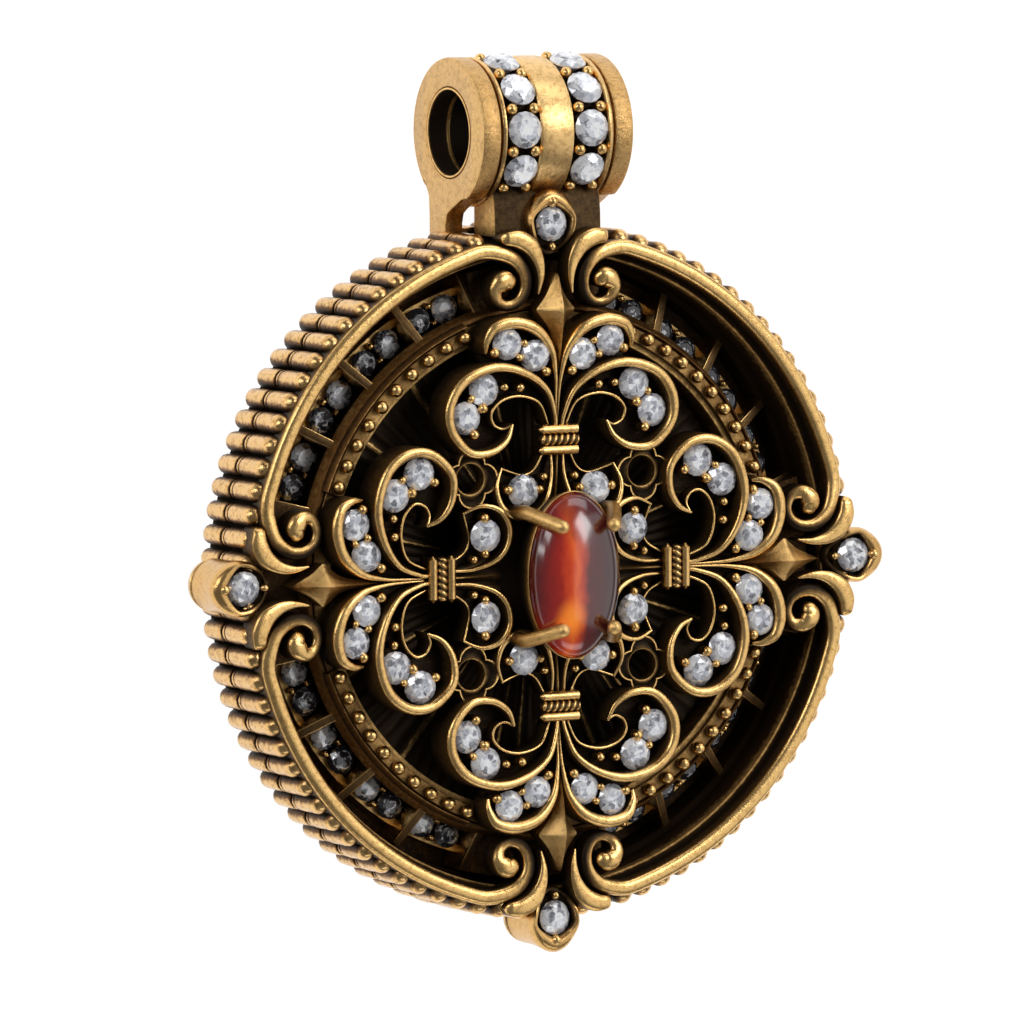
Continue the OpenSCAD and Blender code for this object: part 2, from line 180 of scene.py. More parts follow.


# %% [markdown]
# Curves.
# The scrolls were drawn as a few points each. A Catmull-Rom curve passes through every one of
# them, so moving one point moves only the curve beside it. Width and height are extra columns of the
# same table and are smoothed by the same rule, which makes a band swell and sink like forged wire.

# %% Smooth curves and swept bands
RIM_LOW = 5.85
CREST_SQUARENESS = 0.86
BAND_ARC_STEPS = 11


def smooth_curve(table, steps=8, closed=False):
    """Catmull-Rom through the rows of a table. Every column is smoothed."""
    table = np.asarray(table, float)
    count = len(table)
    rows = []
    for i in range(count if closed else count - 1):
        if closed:
            a, b, c, d = (table[(i + k) % count] for k in (-1, 0, 1, 2))
        else:
            a, b, c, d = table[max(i - 1, 0)], table[i], table[i + 1], table[min(i + 2, count - 1)]
        for t in np.arange(steps) / steps:
            rows.append(0.5 * (2 * b + (c - a) * t + (2 * a - 5 * b + 4 * c - d) * t ** 2
                               + (3 * b - a - 3 * c + d) * t ** 3))
    if not closed:
        rows.append(table[-1])
    return np.array(rows)


def round_ends(rows, turns=(25, 50, 72, 86)):
    """Adds rows past both ends that narrow the band to a round nose."""
    def nose(end, before):
        way = (end - before)[:2]
        way = way / np.linalg.norm(way)
        half = end[2] / 2
        made = []
        for turn in np.radians(turns):
            row = end.copy()
            row[:2] = end[:2] + way * half * math.sin(turn)
            row[2] = end[2] * math.cos(turn)
            row[3] = end[3] - half * (1 - math.cos(turn))
            made.append(row)
        return made
    return np.array(nose(rows[0], rows[1])[::-1] + list(rows) + nose(rows[-1], rows[-2]))


def band_section(half, top, side_rubbed, roundness, lean):
    """Across a band: up one wall, over a flattened round top and down the other wall. A lean leaves
    the left half of the top dark."""
    rise = min(half * roundness, 0.8 * (top - RIM_LOW))
    angles = np.linspace(math.pi, 0, BAND_ARC_STEPS)
    cos, sin = np.cos(angles), np.sin(angles)
    crown = np.sign(cos) * np.abs(cos) ** CREST_SQUARENESS
    arch = np.abs(sin) ** CREST_SQUARENESS
    middle = (RIM_LOW + top - rise) / 2
    across = np.concatenate(([-half, -half], half * crown, [half, half]))
    up = np.concatenate(([RIM_LOW, middle], top - rise + rise * arch, [middle, RIM_LOW]))
    crest = side_rubbed + (1 - side_rubbed) * np.abs(sin) ** 0.6
    crest = crest * np.clip(1 - lean * (1.0 + 1.3 * crown), 0, 1)
    return across, up, np.concatenate(([0, side_rubbed / 2], crest, [side_rubbed / 2, 0]))


def swept_band(table, side_rubbed, roundness, leans=None):
    """A band along a curve. The table's columns are x, y, width and top, and leans adds a fifth."""
    leans = np.zeros(len(table)) if leans is None else leans
    rows = round_ends(smooth_curve(np.column_stack((table, leans))))
    ahead = np.gradient(rows[:, :2], axis=0)
    ahead /= np.linalg.norm(ahead, axis=1)[:, None]
    points, rubbed = [], []
    for way, (x, y, width, top, lean) in zip(ahead, rows):
        across, up, row_rubbed = band_section(width / 2, top, side_rubbed, roundness, lean)
        points.append(np.column_stack((x - across * way[1], y + across * way[0], up)))
        rubbed.append(row_rubbed)
    return grid(points, rubbed)


# %% Turned shapes, plates and pins
def full_turn(steps):
    return np.arange(steps) * 2 * math.pi / steps


def ring_of(angles, x, y, z):
    """A round or oval ring of points with its two radii and its height."""
    return np.column_stack((x * np.cos(angles), y * np.sin(angles), z + 0 * angles))


def lathe(profile, steps=180, start=0.0, stop=360.0):
    """Turns a closed profile of radius, height and rubbed about the medallion's axis."""
    r, z, w = np.asarray(profile, float).T
    whole = stop - start >= 360
    angles = np.radians(np.linspace(start, stop, steps, endpoint=not whole))
    rings = [np.column_stack((r * math.cos(a), r * math.sin(a), z)) for a in angles]
    return grid(rings, np.tile(w, (steps, 1)), closed=whole)


def soften(profile, cut=0.06):
    """Cuts each corner of a closed profile back, and rubs the new edge bright."""
    profile = [np.array(p, float) for p in profile]
    soft = []
    for before, corner, after in zip(profile[-1:] + profile[:-1], profile, profile[1:] + profile[:1]):
        for other in (before, after):
            way = other[:2] - corner[:2]
            far = np.linalg.norm(way)
            if corner[0] <= 0 or far < 1e-9:
                soft.append(corner)
                break
            point = corner.copy()
            point[:2] = corner[:2] + way / far * min(cut, 0.4 * far)
            point[2] = min(1, corner[2] + 0.2)
            soft.append(point)
    return soft


def plate(outlines, low, high, bevel, face_rubbed, edge_rubbed):
    """A flat plate of closed outlines, holes among them, with bevelled edges."""
    drawing = bpy.data.curves.new("outline", "CURVE")
    drawing.dimensions = "2D"
    drawing.fill_mode = "BOTH"
    drawing.extrude = (high - low) / 2 - bevel
    drawing.bevel_depth = bevel
    drawing.bevel_resolution = 1
    drawing.offset = -bevel
    for outline in outlines:
        spline = drawing.splines.new("POLY")
        spline.points.add(len(outline) - 1)
        spline.points.foreach_set("co", [v for x, y in outline for v in (x, y, 0, 1)])
        spline.use_cyclic_u = True
    holder = bpy.data.objects.new("outline", drawing)
    mesh = bpy.data.meshes.new_from_object(holder)
    points = [(v.co.x, v.co.y, v.co.z + (low + high) / 2) for v in mesh.vertices]
    inner = (high - low) / 2 - bevel * 0.6
    rubbed = [edge_rubbed if abs(v.co.z) > inner else face_rubbed for v in mesh.vertices]
    casting = Casting().add(points, [tuple(f.vertices) for f in mesh.polygons], rubbed)
    bpy.data.objects.remove(holder)
    bpy.data.curves.remove(drawing)
    bpy.data.meshes.remove(mesh)
    return casting


def pin(radius_rows, sides=12, side_shade=0.0):
    """A turned pin about its own axis, from rows of radius, height and rubbed, closed at both ends.
    The last argument paints shade: it lowers the rubbed value of the sides that don't face along X, which
    leaves a painted highlight on the side that does."""
    angles = full_turn(sides)
    widest = max(r for r, _, _ in radius_rows)
    painted_side_shade = side_shade * (1 - np.clip(np.cos(angles), 0, 1) ** 2)
    return grid([ring_of(angles, r, r, z) for r, z, _ in radius_rows],
                [w * (1 - painted_side_shade * (r / widest) ** 2) for r, _, w in radius_rows])


def dome_rows_of(radius, z, rubbed, steps):
    """Rows of a half ball that ends a pin."""
    return [(radius * math.cos(a), z + radius * math.sin(a), rubbed) for a in np.linspace(0, 1.5, steps)]


def arc_points(centre, radius, start, stop, steps):
    """Points of an arc, angles in degrees."""
    return [(centre[0] + radius * math.cos(math.radians(a)), centre[1] + radius * math.sin(math.radians(a)))
            for a in np.linspace(start, stop, steps)]


# %% [markdown]
# Finishes.
# The real metal is a warm yellow casting that was blackened all over and then rubbed: crests are bright
# and hollows stay dark brown. The finish mixes those two by the rubbed value of the mesh, by how closed
# in a spot is, and by a speckle that breaks the border up. Small pits and scratches are bump, because
# they are finer than any edge that the meshes carry. A sum in a shader reads best as a sum, so a Value
# stands for a socket and turns plus, minus and times into nodes.

# %% Node helpers
def fill(tree, node, inputs):
    """Gives a node's inputs their values or links."""
    for key, value in dict(inputs).items():
        value = getattr(value, "socket", value)
        if isinstance(value, bpy.types.NodeSocket):
            tree.links.new(value, node.inputs[key])
        else:
            node.inputs[key].default_value = value


def put(tree, kind, inputs=(), **settings):
    """Adds a node, sets its options and fills its inputs."""
    made = tree.nodes.new(kind)
    for key, value in settings.items():
        setattr(made, key, value)
    fill(tree, made, inputs)
    return made


class Value:
    """A number in a shader's tree."""

    def __init__(self, tree, socket):
        self.tree, self.socket = tree, socket

    def math(self, operation, other=0.0, clamp=False):
        return Value(self.tree, put(self.tree, "ShaderNodeMath", {0: self, 1: other}, operation=operation,
                                    use_clamp=clamp).outputs[0])

    def __add__(self, other):
        return self.math("ADD", other)

    def __sub__(self, other):
        return self.math("SUBTRACT", other)

    def __mul__(self, other):
        return self.math("MULTIPLY", other)

    __radd__, __rmul__ = __add__, __mul__


class Finish:
    """A new material with a shader, coordinates in millimetres, and short names for common nodes."""

    def __init__(self, name):
        self.material = bpy.data.materials.new(name)
        self.material.use_nodes = True
        self.tree = self.material.node_tree
        self.tree.nodes.clear()
        self.shader = self.put("ShaderNodeBsdfPrincipled")
        self.put("ShaderNodeOutputMaterial", {"Surface": self.shader.outputs[0]})
        where = self.put("ShaderNodeTexCoord").outputs["Object"]
        self.in_mm = self.put("ShaderNodeMapping", {"Vector": where, "Scale": (1000, 1000, 1000)}).outputs[0]

    def put(self, kind, inputs=(), **settings):
        return put(self.tree, kind, inputs, **settings)

    def give(self, inputs):
        """Fills the shader's own sockets and hands over the material."""
        fill(self.tree, self.shader, inputs)
        return self.material

    def number(self, kind, inputs, output=0, **settings):
        return Value(self.tree, self.put(kind, inputs, **settings).outputs[output])

    def attribute(self, name, output="Fac"):
        return self.number("ShaderNodeAttribute", {}, output, attribute_name=name)

    def stretched(self, scale, turn=(0, 0, 0)):
        inputs = {"Vector": self.in_mm, "Scale": scale, "Rotation": turn}
        return self.put("ShaderNodeMapping", inputs).outputs[0]

    def noise(self, scale, detail=4.0, roughness=0.6, where=None):
        return self.number("ShaderNodeTexNoise", {"Vector": where or self.in_mm, "Scale": scale,
                                                  "Detail": detail, "Roughness": roughness})

    def spread(self, value, low, high, first=0.0, last=1.0, kind="LINEAR"):
        """Runs from first to last while the value runs from low to high."""
        return self.number("ShaderNodeMapRange", {"Value": value, "From Min": low, "From Max": high,
                                                  "To Min": first, "To Max": last}, interpolation_type=kind)

    def blend(self, factor, first, second):
        """From the first colour to the second."""
        first, second = ((*c, 1) if isinstance(c, tuple) else c for c in (first, second))
        return self.put("ShaderNodeMix", {"Factor": factor, 6: first, 7: second}, data_type="RGBA").outputs[2]

    def ramp(self, value, first, *stops):
        """A colour ramp: its first colour, then places with their colours."""
        made = self.put("ShaderNodeValToRGB", {"Fac": value})
        elements = made.color_ramp.elements
        elements.remove(elements[1])
        elements[0].color = (*first, 1)
        for place, colour in stops:
            elements.new(place).color = (*colour, 1)
        return made.outputs[0]

    def bump(self, height, strength, distance, under=None):
        inputs = {"Height": height, "Strength": strength, "Distance": distance * MM}
        if under:
            inputs["Normal"] = under
        return self.put("ShaderNodeBump", inputs).outputs[0]


# %% Antiqued gold
BRIGHT_GOLD = (0.98, 0.63, 0.24)
WARM_GOLD = (0.77, 0.42, 0.128)
DULL_GOLD = (0.50, 0.27, 0.085)
PATINA_BROWN = (0.25, 0.14, 0.048)
PATINA_BLACK = (0.024, 0.015, 0.008)
HOLLOW_REACH = 0.9
SCRATCH_LEAVES = 0.35


def antique_gold(name, shine=0.19, cover=0.15, brush=None, pits=0.3, bright=BRIGHT_GOLD, brown=PATINA_BROWN,
                 mottle=0.6, dull=0.42, stained=0.45, scratched=(0.28, 0.42), glint=(1, 1, 1)):
    """Rubbed and blackened metal. Cover adds patina, brush is a stretch that draws scratches, mottle is
    how ragged the edge of the patina is, dull how rough the patina is, stained how much of the gold a
    stain leaves, scratched where a dark line ends in the brush's noise, and glint tints the sheen."""
    finish = Finish(name)
    rubbed = finish.attribute("rubbed")
    closed_in = finish.number("ShaderNodeAmbientOcclusion", {"Distance": HOLLOW_REACH * MM}, "AO", samples=6,
                              only_local=True)
    speckle, cloud = finish.noise(4.2, 7.0, 0.75), finish.noise(0.45, 3.0)
    worn = 1.1 * rubbed - (0.15 + cover + mottle / 2) + 0.35 * closed_in + mottle * speckle + 0.3 * cloud
    bare = finish.spread(worn, 0.70, 1.12, kind="SMOOTHSTEP")
    thin = finish.spread(worn, 0.25, 0.85, kind="SMOOTHSTEP")
    gold = finish.blend(0.7 * rubbed, finish.blend(cloud, WARM_GOLD, bright), bright)
    gold = finish.blend(finish.spread(finish.noise(3.2, 7.0, 0.72), 0.40, 0.50, stained), DULL_GOLD, gold)
    colour = finish.blend(bare, finish.blend(thin, PATINA_BLACK, brown), gold)
    dents = finish.bump(finish.noise(4.5, 7.0, 0.75), pits, 0.045)
    if brush:
        lines = finish.noise(1.0, 6.0, 0.75, finish.stretched(*brush))
        dents = finish.bump(lines, 0.4, 0.05, dents)
        colour = finish.blend(finish.spread(lines, *scratched, SCRATCH_LEAVES), brown, colour)
    return finish.give({
        "Base Color": colour, "Normal": dents, "Metallic": finish.spread(thin, 0, 1, 0.6, 1.0),
        "Specular IOR Level": finish.spread(thin, 0, 1, 0.15, 0.5), "Specular Tint": (*glint, 1),
        "Roughness": finish.spread(bare, 0, 1, dull, shine) + 0.10 * speckle})


GOLD = antique_gold("antique_gold_casting")
WORN_GOLD = antique_gold("worn_pitted_gold", shine=0.24, pits=0.8, mottle=0.8, cover=0.05)
DARK_CASTING = antique_gold("blackened_casting", shine=0.34, cover=0.28, pits=0.7)
TRAY_CASTING = antique_gold("blackened_tray", shine=0.32, cover=0.24, pits=0.7, mottle=0.8,
                            brown=(0.24, 0.11, 0.03))
WALL_CASTING = antique_gold("black_drum_wall", shine=0.5, cover=0.40, brown=(0.06, 0.03, 0.012), dull=0.8,
                            glint=(0.2, 0.16, 0.12))
FLOOR_CASTING = antique_gold("blackened_floor", shine=0.36, cover=0.36, pits=0.7,
                             brush=((0.8, 9.0, 1.0), (0, 0, 0.1)))
FLOOR_DARK = antique_gold("black_sunray_floor", shine=0.28, cover=0.34, mottle=1.0,
                          brown=(0.06, 0.035, 0.014))
EAR_GOLD = antique_gold("brushed_ear_gold", shine=0.21, cover=0.10, pits=0.9, mottle=1.0,
                        brush=((1.5, 4.5, 9.0), (0.9, 0.0, 0.0)), scratched=(0.33, 0.45),
                        bright=(0.72, 0.45, 0.18))
BAND_GOLD = antique_gold("soft_band_gold", shine=0.20, cover=0.0, pits=0.4, mottle=0.8,
                         bright=(0.90, 0.60, 0.26))
NECK_CASTING = antique_gold("brushed_dark_neck", shine=0.34, cover=0.30,
                            brush=((0.5, 14.0, 14.0), (0, 0, 0)))
# On the ribs, this bright gold along the crest against dark brown sides is a painted highlight and painted
# shade
RIB_GOLD = antique_gold("polished_rib_gold", shine=0.12, bright=(0.86, 0.55, 0.235), mottle=1.1, pits=0.4,
                        brown=(0.17, 0.08, 0.03), stained=0.2)
CUP_GOLD = antique_gold("tip_cup_gold", shine=0.20, cover=0.03, bright=(0.72, 0.44, 0.165), mottle=0.4,
                        pits=0.2, stained=0.5)
print("materials after the metals:", len(bpy.data.materials))

# %% [markdown]
# Stones.
# A small brilliant doesn't show its colour, but a patchwork of what its facets mirror, white beside
# nearly black. True refraction at this size is mostly noise, so that patchwork is painted reflection:
# each facet of the mesh is given its own painted brightness, and a pattern of wedges and rings breaks it
# into chips, under a hard clear surface that mirrors the lamps. Each ring of chips is turned against the
# next, as bricks are laid, so that no line runs through them all.

# %% Stone finishes
WEDGES, RINGS = 9, 3
RING_TURN = 0.43
MIDDLE_GREY = 0.45


def clear_stone(name, darkness=0.0, contrast=1.0):
    """Painted reflection: white and dark chips round the middle of each stone, the way a brilliant's facets
    break up what they mirror, and painted highlights on some edges of the rings. Every stone has a number of
    its own, and a painted shade that darkens it. More darkness and contrast are painted shade for the stones
    deep in the tray."""
    finish = Finish(name)
    facet, shade, gem = (finish.attribute(n) for n in ("facet", "shade", "gem"))
    cut = finish.attribute("cut", "Vector")
    flat = finish.put("ShaderNodeSeparateXYZ", {"Vector": cut})
    wobble = finish.noise(1.9, 3.0)
    far = finish.number("ShaderNodeVectorMath", {0: cut}, "Value", operation="LENGTH")
    ring = RINGS * 2 * far + 1.6 * wobble
    turn = WEDGES / math.tau * Value(finish.tree, flat.outputs[1]).math("ARCTAN2", flat.outputs[0])
    turn = turn + RING_TURN * ring.math("FLOOR") + 1.8 * wobble
    chip_place = finish.put("ShaderNodeCombineXYZ", {
        "X": turn.math("FLOOR"), "Y": ring.math("FLOOR"), "Z": gem}).outputs[0]
    chip = finish.number("ShaderNodeTexWhiteNoise", {"Vector": chip_place}, "Value", noise_dimensions="3D")
    # The chips, the haze and each facet's brightness are painted reflection, and the ring edge glints are
    # painted highlights
    outer = finish.spread(far, 0.12, 0.30, kind="SMOOTHSTEP")
    painted_edge_glint = finish.spread(ring.math("PINGPONG", 0.5), 0.05, 0.20, 0.8, 0.0)
    dark_edge = finish.spread(turn.math("PINGPONG", 0.5), 0.02, 0.14, 0.16, 0.0)
    painted_haze = finish.spread(finish.noise(2.6, 5.0, 0.7), 0.38, 0.62, 0.25, 0.95)
    chips = 0.95 * chip - dark_edge
    value = painted_haze + (chips - painted_haze) * (0.65 * outer + 0.15) + 0.38 * facet
    value = value + painted_edge_glint * finish.spread(finish.noise(3.4, 2.0), 0.44, 0.56)
    value = (value - shade - (darkness + 0.10)) * contrast + MIDDLE_GREY * (1 - contrast)
    colour = finish.ramp(value, (0.03, 0.03, 0.035), (0.2, (0.22, 0.225, 0.25)), (0.42, (0.53, 0.54, 0.61)),
                         (0.65, (0.85, 0.86, 0.90)), (0.85, (1.0, 1.0, 1.0)))
    return finish.give({"Base Color": colour, "Normal": finish.bump(chip, 0.18, 0.03), "Metallic": 0.2,
                        "Roughness": 0.10, "IOR": 1.9})


def amber_stone():
    """The centre stone: deep red at the left, an orange flame beside its middle, maroon at the right, and a
    painted glow of its own colour.
    """
    finish = Finish("orange_cabochon_stone")
    split = finish.put("ShaderNodeSeparateXYZ", {"Vector": finish.in_mm})
    sway = (finish.noise(1.1, 3.0, where=finish.stretched((0.7, 0.35, 0.4))) - 0.5) * 1.2
    across = finish.spread(sway + split.outputs[0], -2.45, 2.45)
    bands = finish.ramp(
        across, (0.05, 0.003, 0.004), (0.14, (0.17, 0.006, 0.004)), (0.24, (0.30, 0.010, 0.004)),
        (0.31, (0.55, 0.045, 0.005)), (0.38, (0.72, 0.10, 0.005)), (0.45, (0.45, 0.035, 0.005)),
        (0.53, (0.09, 0.008, 0.006)), (0.75, (0.04, 0.005, 0.005)), (1.0, (0.025, 0.003, 0.004)))
    ember_far = finish.number("ShaderNodeVectorMath", {0: finish.stretched((1.0, 0.75, 0.0)),
                                                       1: (-0.72, -1.5, 0.0)}, "Value", operation="DISTANCE")
    ember = finish.spread(ember_far, 0.1, 0.95, 1.0, 0.0, "SMOOTHSTEP")
    deep = finish.noise(1.6, 5.0, where=finish.stretched((1.3, 0.5, 0.5)))
    gloom = finish.spread(split.outputs[1], 1.6, 3.6, 0.0, 0.75)
    colour = finish.blend(gloom, bands, (0.07, 0.006, 0.010))
    colour = finish.blend(ember.math("MULTIPLY", deep + 0.45, clamp=True), colour, (1.0, 0.27, 0.02))
    # The stone's colour is also given off as light, a painted glow that is brightest in the orange flame
    return finish.give({"Base Color": colour, "Emission Color": colour, "Emission Strength": 0.28,
                        "Roughness": 0.16, "IOR": 1.75, "Coat Weight": 0.4, "Coat Roughness": 0.16})


CLEAR_STONE = clear_stone("clear_brilliant")
# A painted-shade copy of the brilliant finish, darker and harsher, for the stones in the tray
SHADED_STONE = clear_stone("clear_brilliant_in_shade", darkness=0.02, contrast=1.5)
AMBER = amber_stone()
print("materials after the stones:", len(bpy.data.materials))

# %% [markdown]
# Parts that repeat.
# Ribs, grains, beads, bars and brilliants are each one small part set many times. Geometry Nodes does
# this well: the points carry a turn and a size, the tree sets the part on every point, and Realize
# Instances turns the result into a plain mesh that an export can carry. One tree serves them all.

# %% The setting tree
def build_setting_tree():
    tree = bpy.data.node_groups.new("set a part on every point", "GeometryNodeTree")
    tree.is_modifier = True
    for label, kind, way in (("Points", "Geometry", "INPUT"), ("Part", "Object", "INPUT"),
                             ("Finish", "Material", "INPUT"), ("Geometry", "Geometry", "OUTPUT")):
        tree.interface.new_socket(label, in_out=way, socket_type="NodeSocket" + kind)
    given = put(tree, "NodeGroupInput").outputs
    part = put(tree, "GeometryNodeObjectInfo", {"Object": given["Part"]})
    turn, size = (put(tree, "GeometryNodeInputNamedAttribute", {"Name": name}, data_type="FLOAT_VECTOR")
                  for name in ("turn", "size"))
    placed = put(tree, "GeometryNodeInstanceOnPoints", {
        "Points": given["Points"], "Instance": part.outputs["Geometry"],
        "Rotation": turn.outputs["Attribute"], "Scale": size.outputs["Attribute"]})
    real = put(tree, "GeometryNodeRealizeInstances", {"Geometry": placed.outputs[0]})
    coated = put(tree, "GeometryNodeSetMaterial", {"Geometry": real.outputs[0], "Material": given["Finish"]})
    put(tree, "NodeGroupOutput", {"Geometry": coated.outputs[0]})
    return tree


SETTING_TREE = build_setting_tree()
SOCKETS = {item.name: item.identifier for item in SETTING_TREE.interface.items_tree if item.in_out == "INPUT"}


def set_parts(name, part, places, body, finish, *stands_for, slot="antique_gold", shades=None):
    """Sets a part on every place. A place is a point in mm, a turn in radians and a size. Shades are painted
    shade that darkens a part's finish where it is set.
    """
    part_mesh = make_mesh(name + "_part", part) if isinstance(part, Casting) else part
    part = bpy.data.objects.new(name + "_part", part_mesh)
    cloud = bpy.data.meshes.new(name + "_points")
    cloud.from_pydata([tuple(c * MM for c in place) for place, _, _ in places], [], [])
    for label, kind, key, values in (
            ("turn", "FLOAT_VECTOR", "vector", [v for _, turn, _ in places for v in turn]),
            ("size", "FLOAT_VECTOR", "vector", [size for _, _, size in places for _ in range(3)]),
            ("gem", "FLOAT", "value", [3.7 * k for k in range(len(places))]),
            ("shade", "FLOAT", "value", shades)):
        if values:
            cloud.attributes.new(label, kind, "POINT").data.foreach_set(key, values)
    holder = bpy.data.objects.new(name + "_points", cloud)
    for item in (part, holder):
        bpy.context.scene.collection.objects.link(item)
    setting = holder.modifiers.new("setting", "NODES")
    setting.node_group = SETTING_TREE
    setting[SOCKETS["Part"]] = part
    setting[SOCKETS["Finish"]] = finish
    settled = holder.evaluated_get(bpy.context.evaluated_depsgraph_get())
    mesh = bpy.data.meshes.new_from_object(settled)
    mesh.name = name
    bpy.data.objects.remove(holder)
    bpy.data.objects.remove(part)
    finish_piece(name, mesh, body, finish, *stands_for, slot=slot)


def ring_place(radius, angle, z, size=1.0):
    """A place on a ring about the medallion's axis, turned to face outwards."""
    a = math.radians(angle)
    return (radius * math.cos(a), radius * math.sin(a), z), (0, 0, a), size


def from_arm(angle):
    return abs((angle + 45) % 90 - 45)


# %% [markdown]
# The ribbed drum.
# Round-ended ribs stand round each half, like beads on a milled coin, but for the places that the tips
# and the bail take. Each is a turned pin with a ball at its outer end, set on a plain wall, and a front
# rib has a notch near the seam. Turning the walls from a profile and setting the ribs on top keeps both
# exact and costs few faces.

# %% Drum
RIB_MARKS = 90
RIB_AXIS_R, RIB_SIDES, RIB_SIDE_SHADE = 16.5, 16, 0.95
TIP_GAP, BAIL_GAP = 3, 11
WALL_R, LEDGE_R, INNER_R = 16.38, 15.87, 15.5
SEAM_Z, LID_SEAM_Z = 3.85, 3.95
BACK_R = 14.5

front_rib = [(0.30, 3.98, .1), (0.48, 4.0, .6), (0.52, 4.07, 1), (0.515, 4.16, .9), (0.475, 4.22, .3),
             (0.51, 4.3, .9), (0.535, 4.5, 1), (0.54, 5.0, 1), (0.525, 5.4, 1),
             (0.535, 5.75, 1)] + dome_rows_of(0.54, 5.92, 1.0, 8)
back_rib = [(r, 3.44 - z, w) for r, z, w in dome_rows_of(0.5, 1.26, 0.9, 6)[::-1]]
back_rib += [(0.52, 2.5, .95), (0.535, 3.1, 1), (0.53, 3.55, 1), (0.515, 3.72, .9), (0.47, 3.8, .4),
             (0.3, 3.82, .1)]
rib_angles = [(i + 0.5) * 360 / RIB_MARKS for i in range(RIB_MARKS)]
for name, rib, bail_gap, body in (("back_ribs", back_rib, 0, "back_half"),
                                  ("front_ribs", front_rib, BAIL_GAP, "front_half")):
    rib_places = [ring_place(RIB_AXIS_R, 90 - a, 0) for a in rib_angles
                  if from_arm(a) > TIP_GAP and min(a, 360 - a) > bail_gap]
    # The pin's last argument paints shade on each rib's sides and leaves a painted highlight on its outward
    # crest
    set_parts(name, pin(rib, RIB_SIDES, RIB_SIDE_SHADE), rib_places, body, RIB_GOLD)

back_wall = lathe(soften([
    (0, 0, .8), (BACK_R, 0, .8), (BACK_R, 1.1, .4), (15.9, 1.1, .1), (WALL_R, 1.7, 0), (WALL_R, SEAM_Z, 0),
    (15.2, SEAM_Z, .2), (15.2, 2.1, 0), (13.6, 2.1, 0), (13.4, 1.0, 0), (0, 1.0, 0)], 0.12))
finish_piece("back_shell", back_wall, "back_half", WALL_CASTING, "back_case")
front_wall = lathe(soften([
    (INNER_R, LID_SEAM_Z, .1), (WALL_R, LID_SEAM_Z, 0), (WALL_R, 6.3, 0), (LEDGE_R, 6.3, .1),
    (LEDGE_R, 5.75, .1), (INNER_R, 5.75, .75)], 0.05))
finish_piece("front_shell", front_wall, "front_half", WALL_CASTING, "front_case")

# %% [markdown]
# Bezel and C-scrolls.
# A round wire runs round the face and curls in at each arm to a hook with a bulb on its end. On the
# real casting that is one line from bulb to bulb, so it is swept here as one band a quadrant, with its
# own width and height at every bend. The scroll's table is written once, the second scroll is the first
# one across the diagonal, and the arc joins the two.

# %% Bezel and C-scrolls
BEZEL_R, BEZEL_W, BEZEL_TOP = 16.18, 0.76, 6.83
BEZEL_FROM, BEZEL_POINTS = 14.4, 16
# Columns: x, y, width and top, from the bulb to the bezel, right of the north arm
C_SCROLL = [
    (2.55, 14.22, 0.80, 7.05), (2.78, 14.30, 0.98, 7.10), (3.06, 14.14, 0.98, 7.10),
    (3.28, 13.78, 0.74, 7.00), (3.12, 13.30, 0.56, 6.86), (2.58, 13.04, 0.54, 6.80),
    (1.97, 13.24, 0.56, 6.84), (1.62, 13.85, 0.60, 6.90), (1.68, 14.60, 0.66, 6.95),
    (2.22, 15.28, 0.72, 6.95), (3.10, 15.62, 0.76, 6.90)]
# How far the patina covers the outer side of the hook, beside each row above
SCROLL_LEAN = [0, 0, 0, 0.05, 0.3, 0.55, 0.7, 0.7, 0.6, 0.3, 0.05]

bezel_arc = [(y, x, BEZEL_W, BEZEL_TOP) for x, y in arc_points(
    (0, 0), BEZEL_R, BEZEL_FROM, 90 - BEZEL_FROM, BEZEL_POINTS)]
bezel_table = C_SCROLL + bezel_arc + [(y, x, width, top) for x, y, width, top in reversed(C_SCROLL)]
bezel = swept_band(bezel_table, 0.3, 0.7, SCROLL_LEAN + [0] * BEZEL_POINTS + SCROLL_LEAN[::-1])
finish_piece("bezel_scrolls", four_arms(bezel, both_sides=False), "front_half", GOLD)

# %% Leaves beside the tips
# Columns: x, y, width and top
LEAF = [(0.94, 13.6, 0.08, 6.85), (0.84, 14.4, 0.34, 6.98), (0.98, 15.2, 0.62, 7.05), (1.42, 15.9, 0.86, 7.1),
        (2.05, 16.26, 0.88, 7.1), (2.62, 16.30, 0.68, 7.05)]
finish_piece("tip_leaves", four_arms(swept_band(LEAF, 0.35, 0.45)), "front_half", GOLD)

# %% [markdown]
# Tip cups.
# Each arm ends in an egg-shaped rim round one stone, on a bulging cup that runs back over both halves
# of the drum. The cup's wall is lofted from the egg at the rim to a circle at the seam by blending the
# two radii at each angle, and its back continues the circle and narrows. The rim is thicker at the tip.

# %% Tip cups
CUP_AT, CUP_R = 17.15, 1.3
CUP_RIM_Z, CUP_FLOOR_Z = 6.7, 6.05
EGG = [(0, 18.66), (0.74, 18.36), (1.32, 17.5), (1.32, 16.7), (1.0, 16.0), (0.5, 15.5), (0, 15.35)]
egg_loop = smooth_curve(EGG + [(-x, y) for x, y in reversed(EGG[1:-1])], 5, closed=True)
egg_y = egg_loop[:, 1]
egg_far = np.linalg.norm(egg_loop - (0, CUP_AT), axis=1)
egg_way = (egg_loop - (0, CUP_AT)) / egg_far[:, None]


def cup_ring(z, roundness, inset):
    thicker = 1 + 1.3 * np.clip((egg_y - 17.2) / 1.3, 0, 1)
    far = (egg_far - inset * thicker) * (1 - roundness) + CUP_R * roundness
    flat = egg_way * far[:, None] + (0, CUP_AT)
    sunk = np.clip((16.7 - flat[:, 1]) / 1.1, 0, 1) ** 1.5
    return np.column_stack((flat, z - 0.5 * sunk * (z > 6.2)))


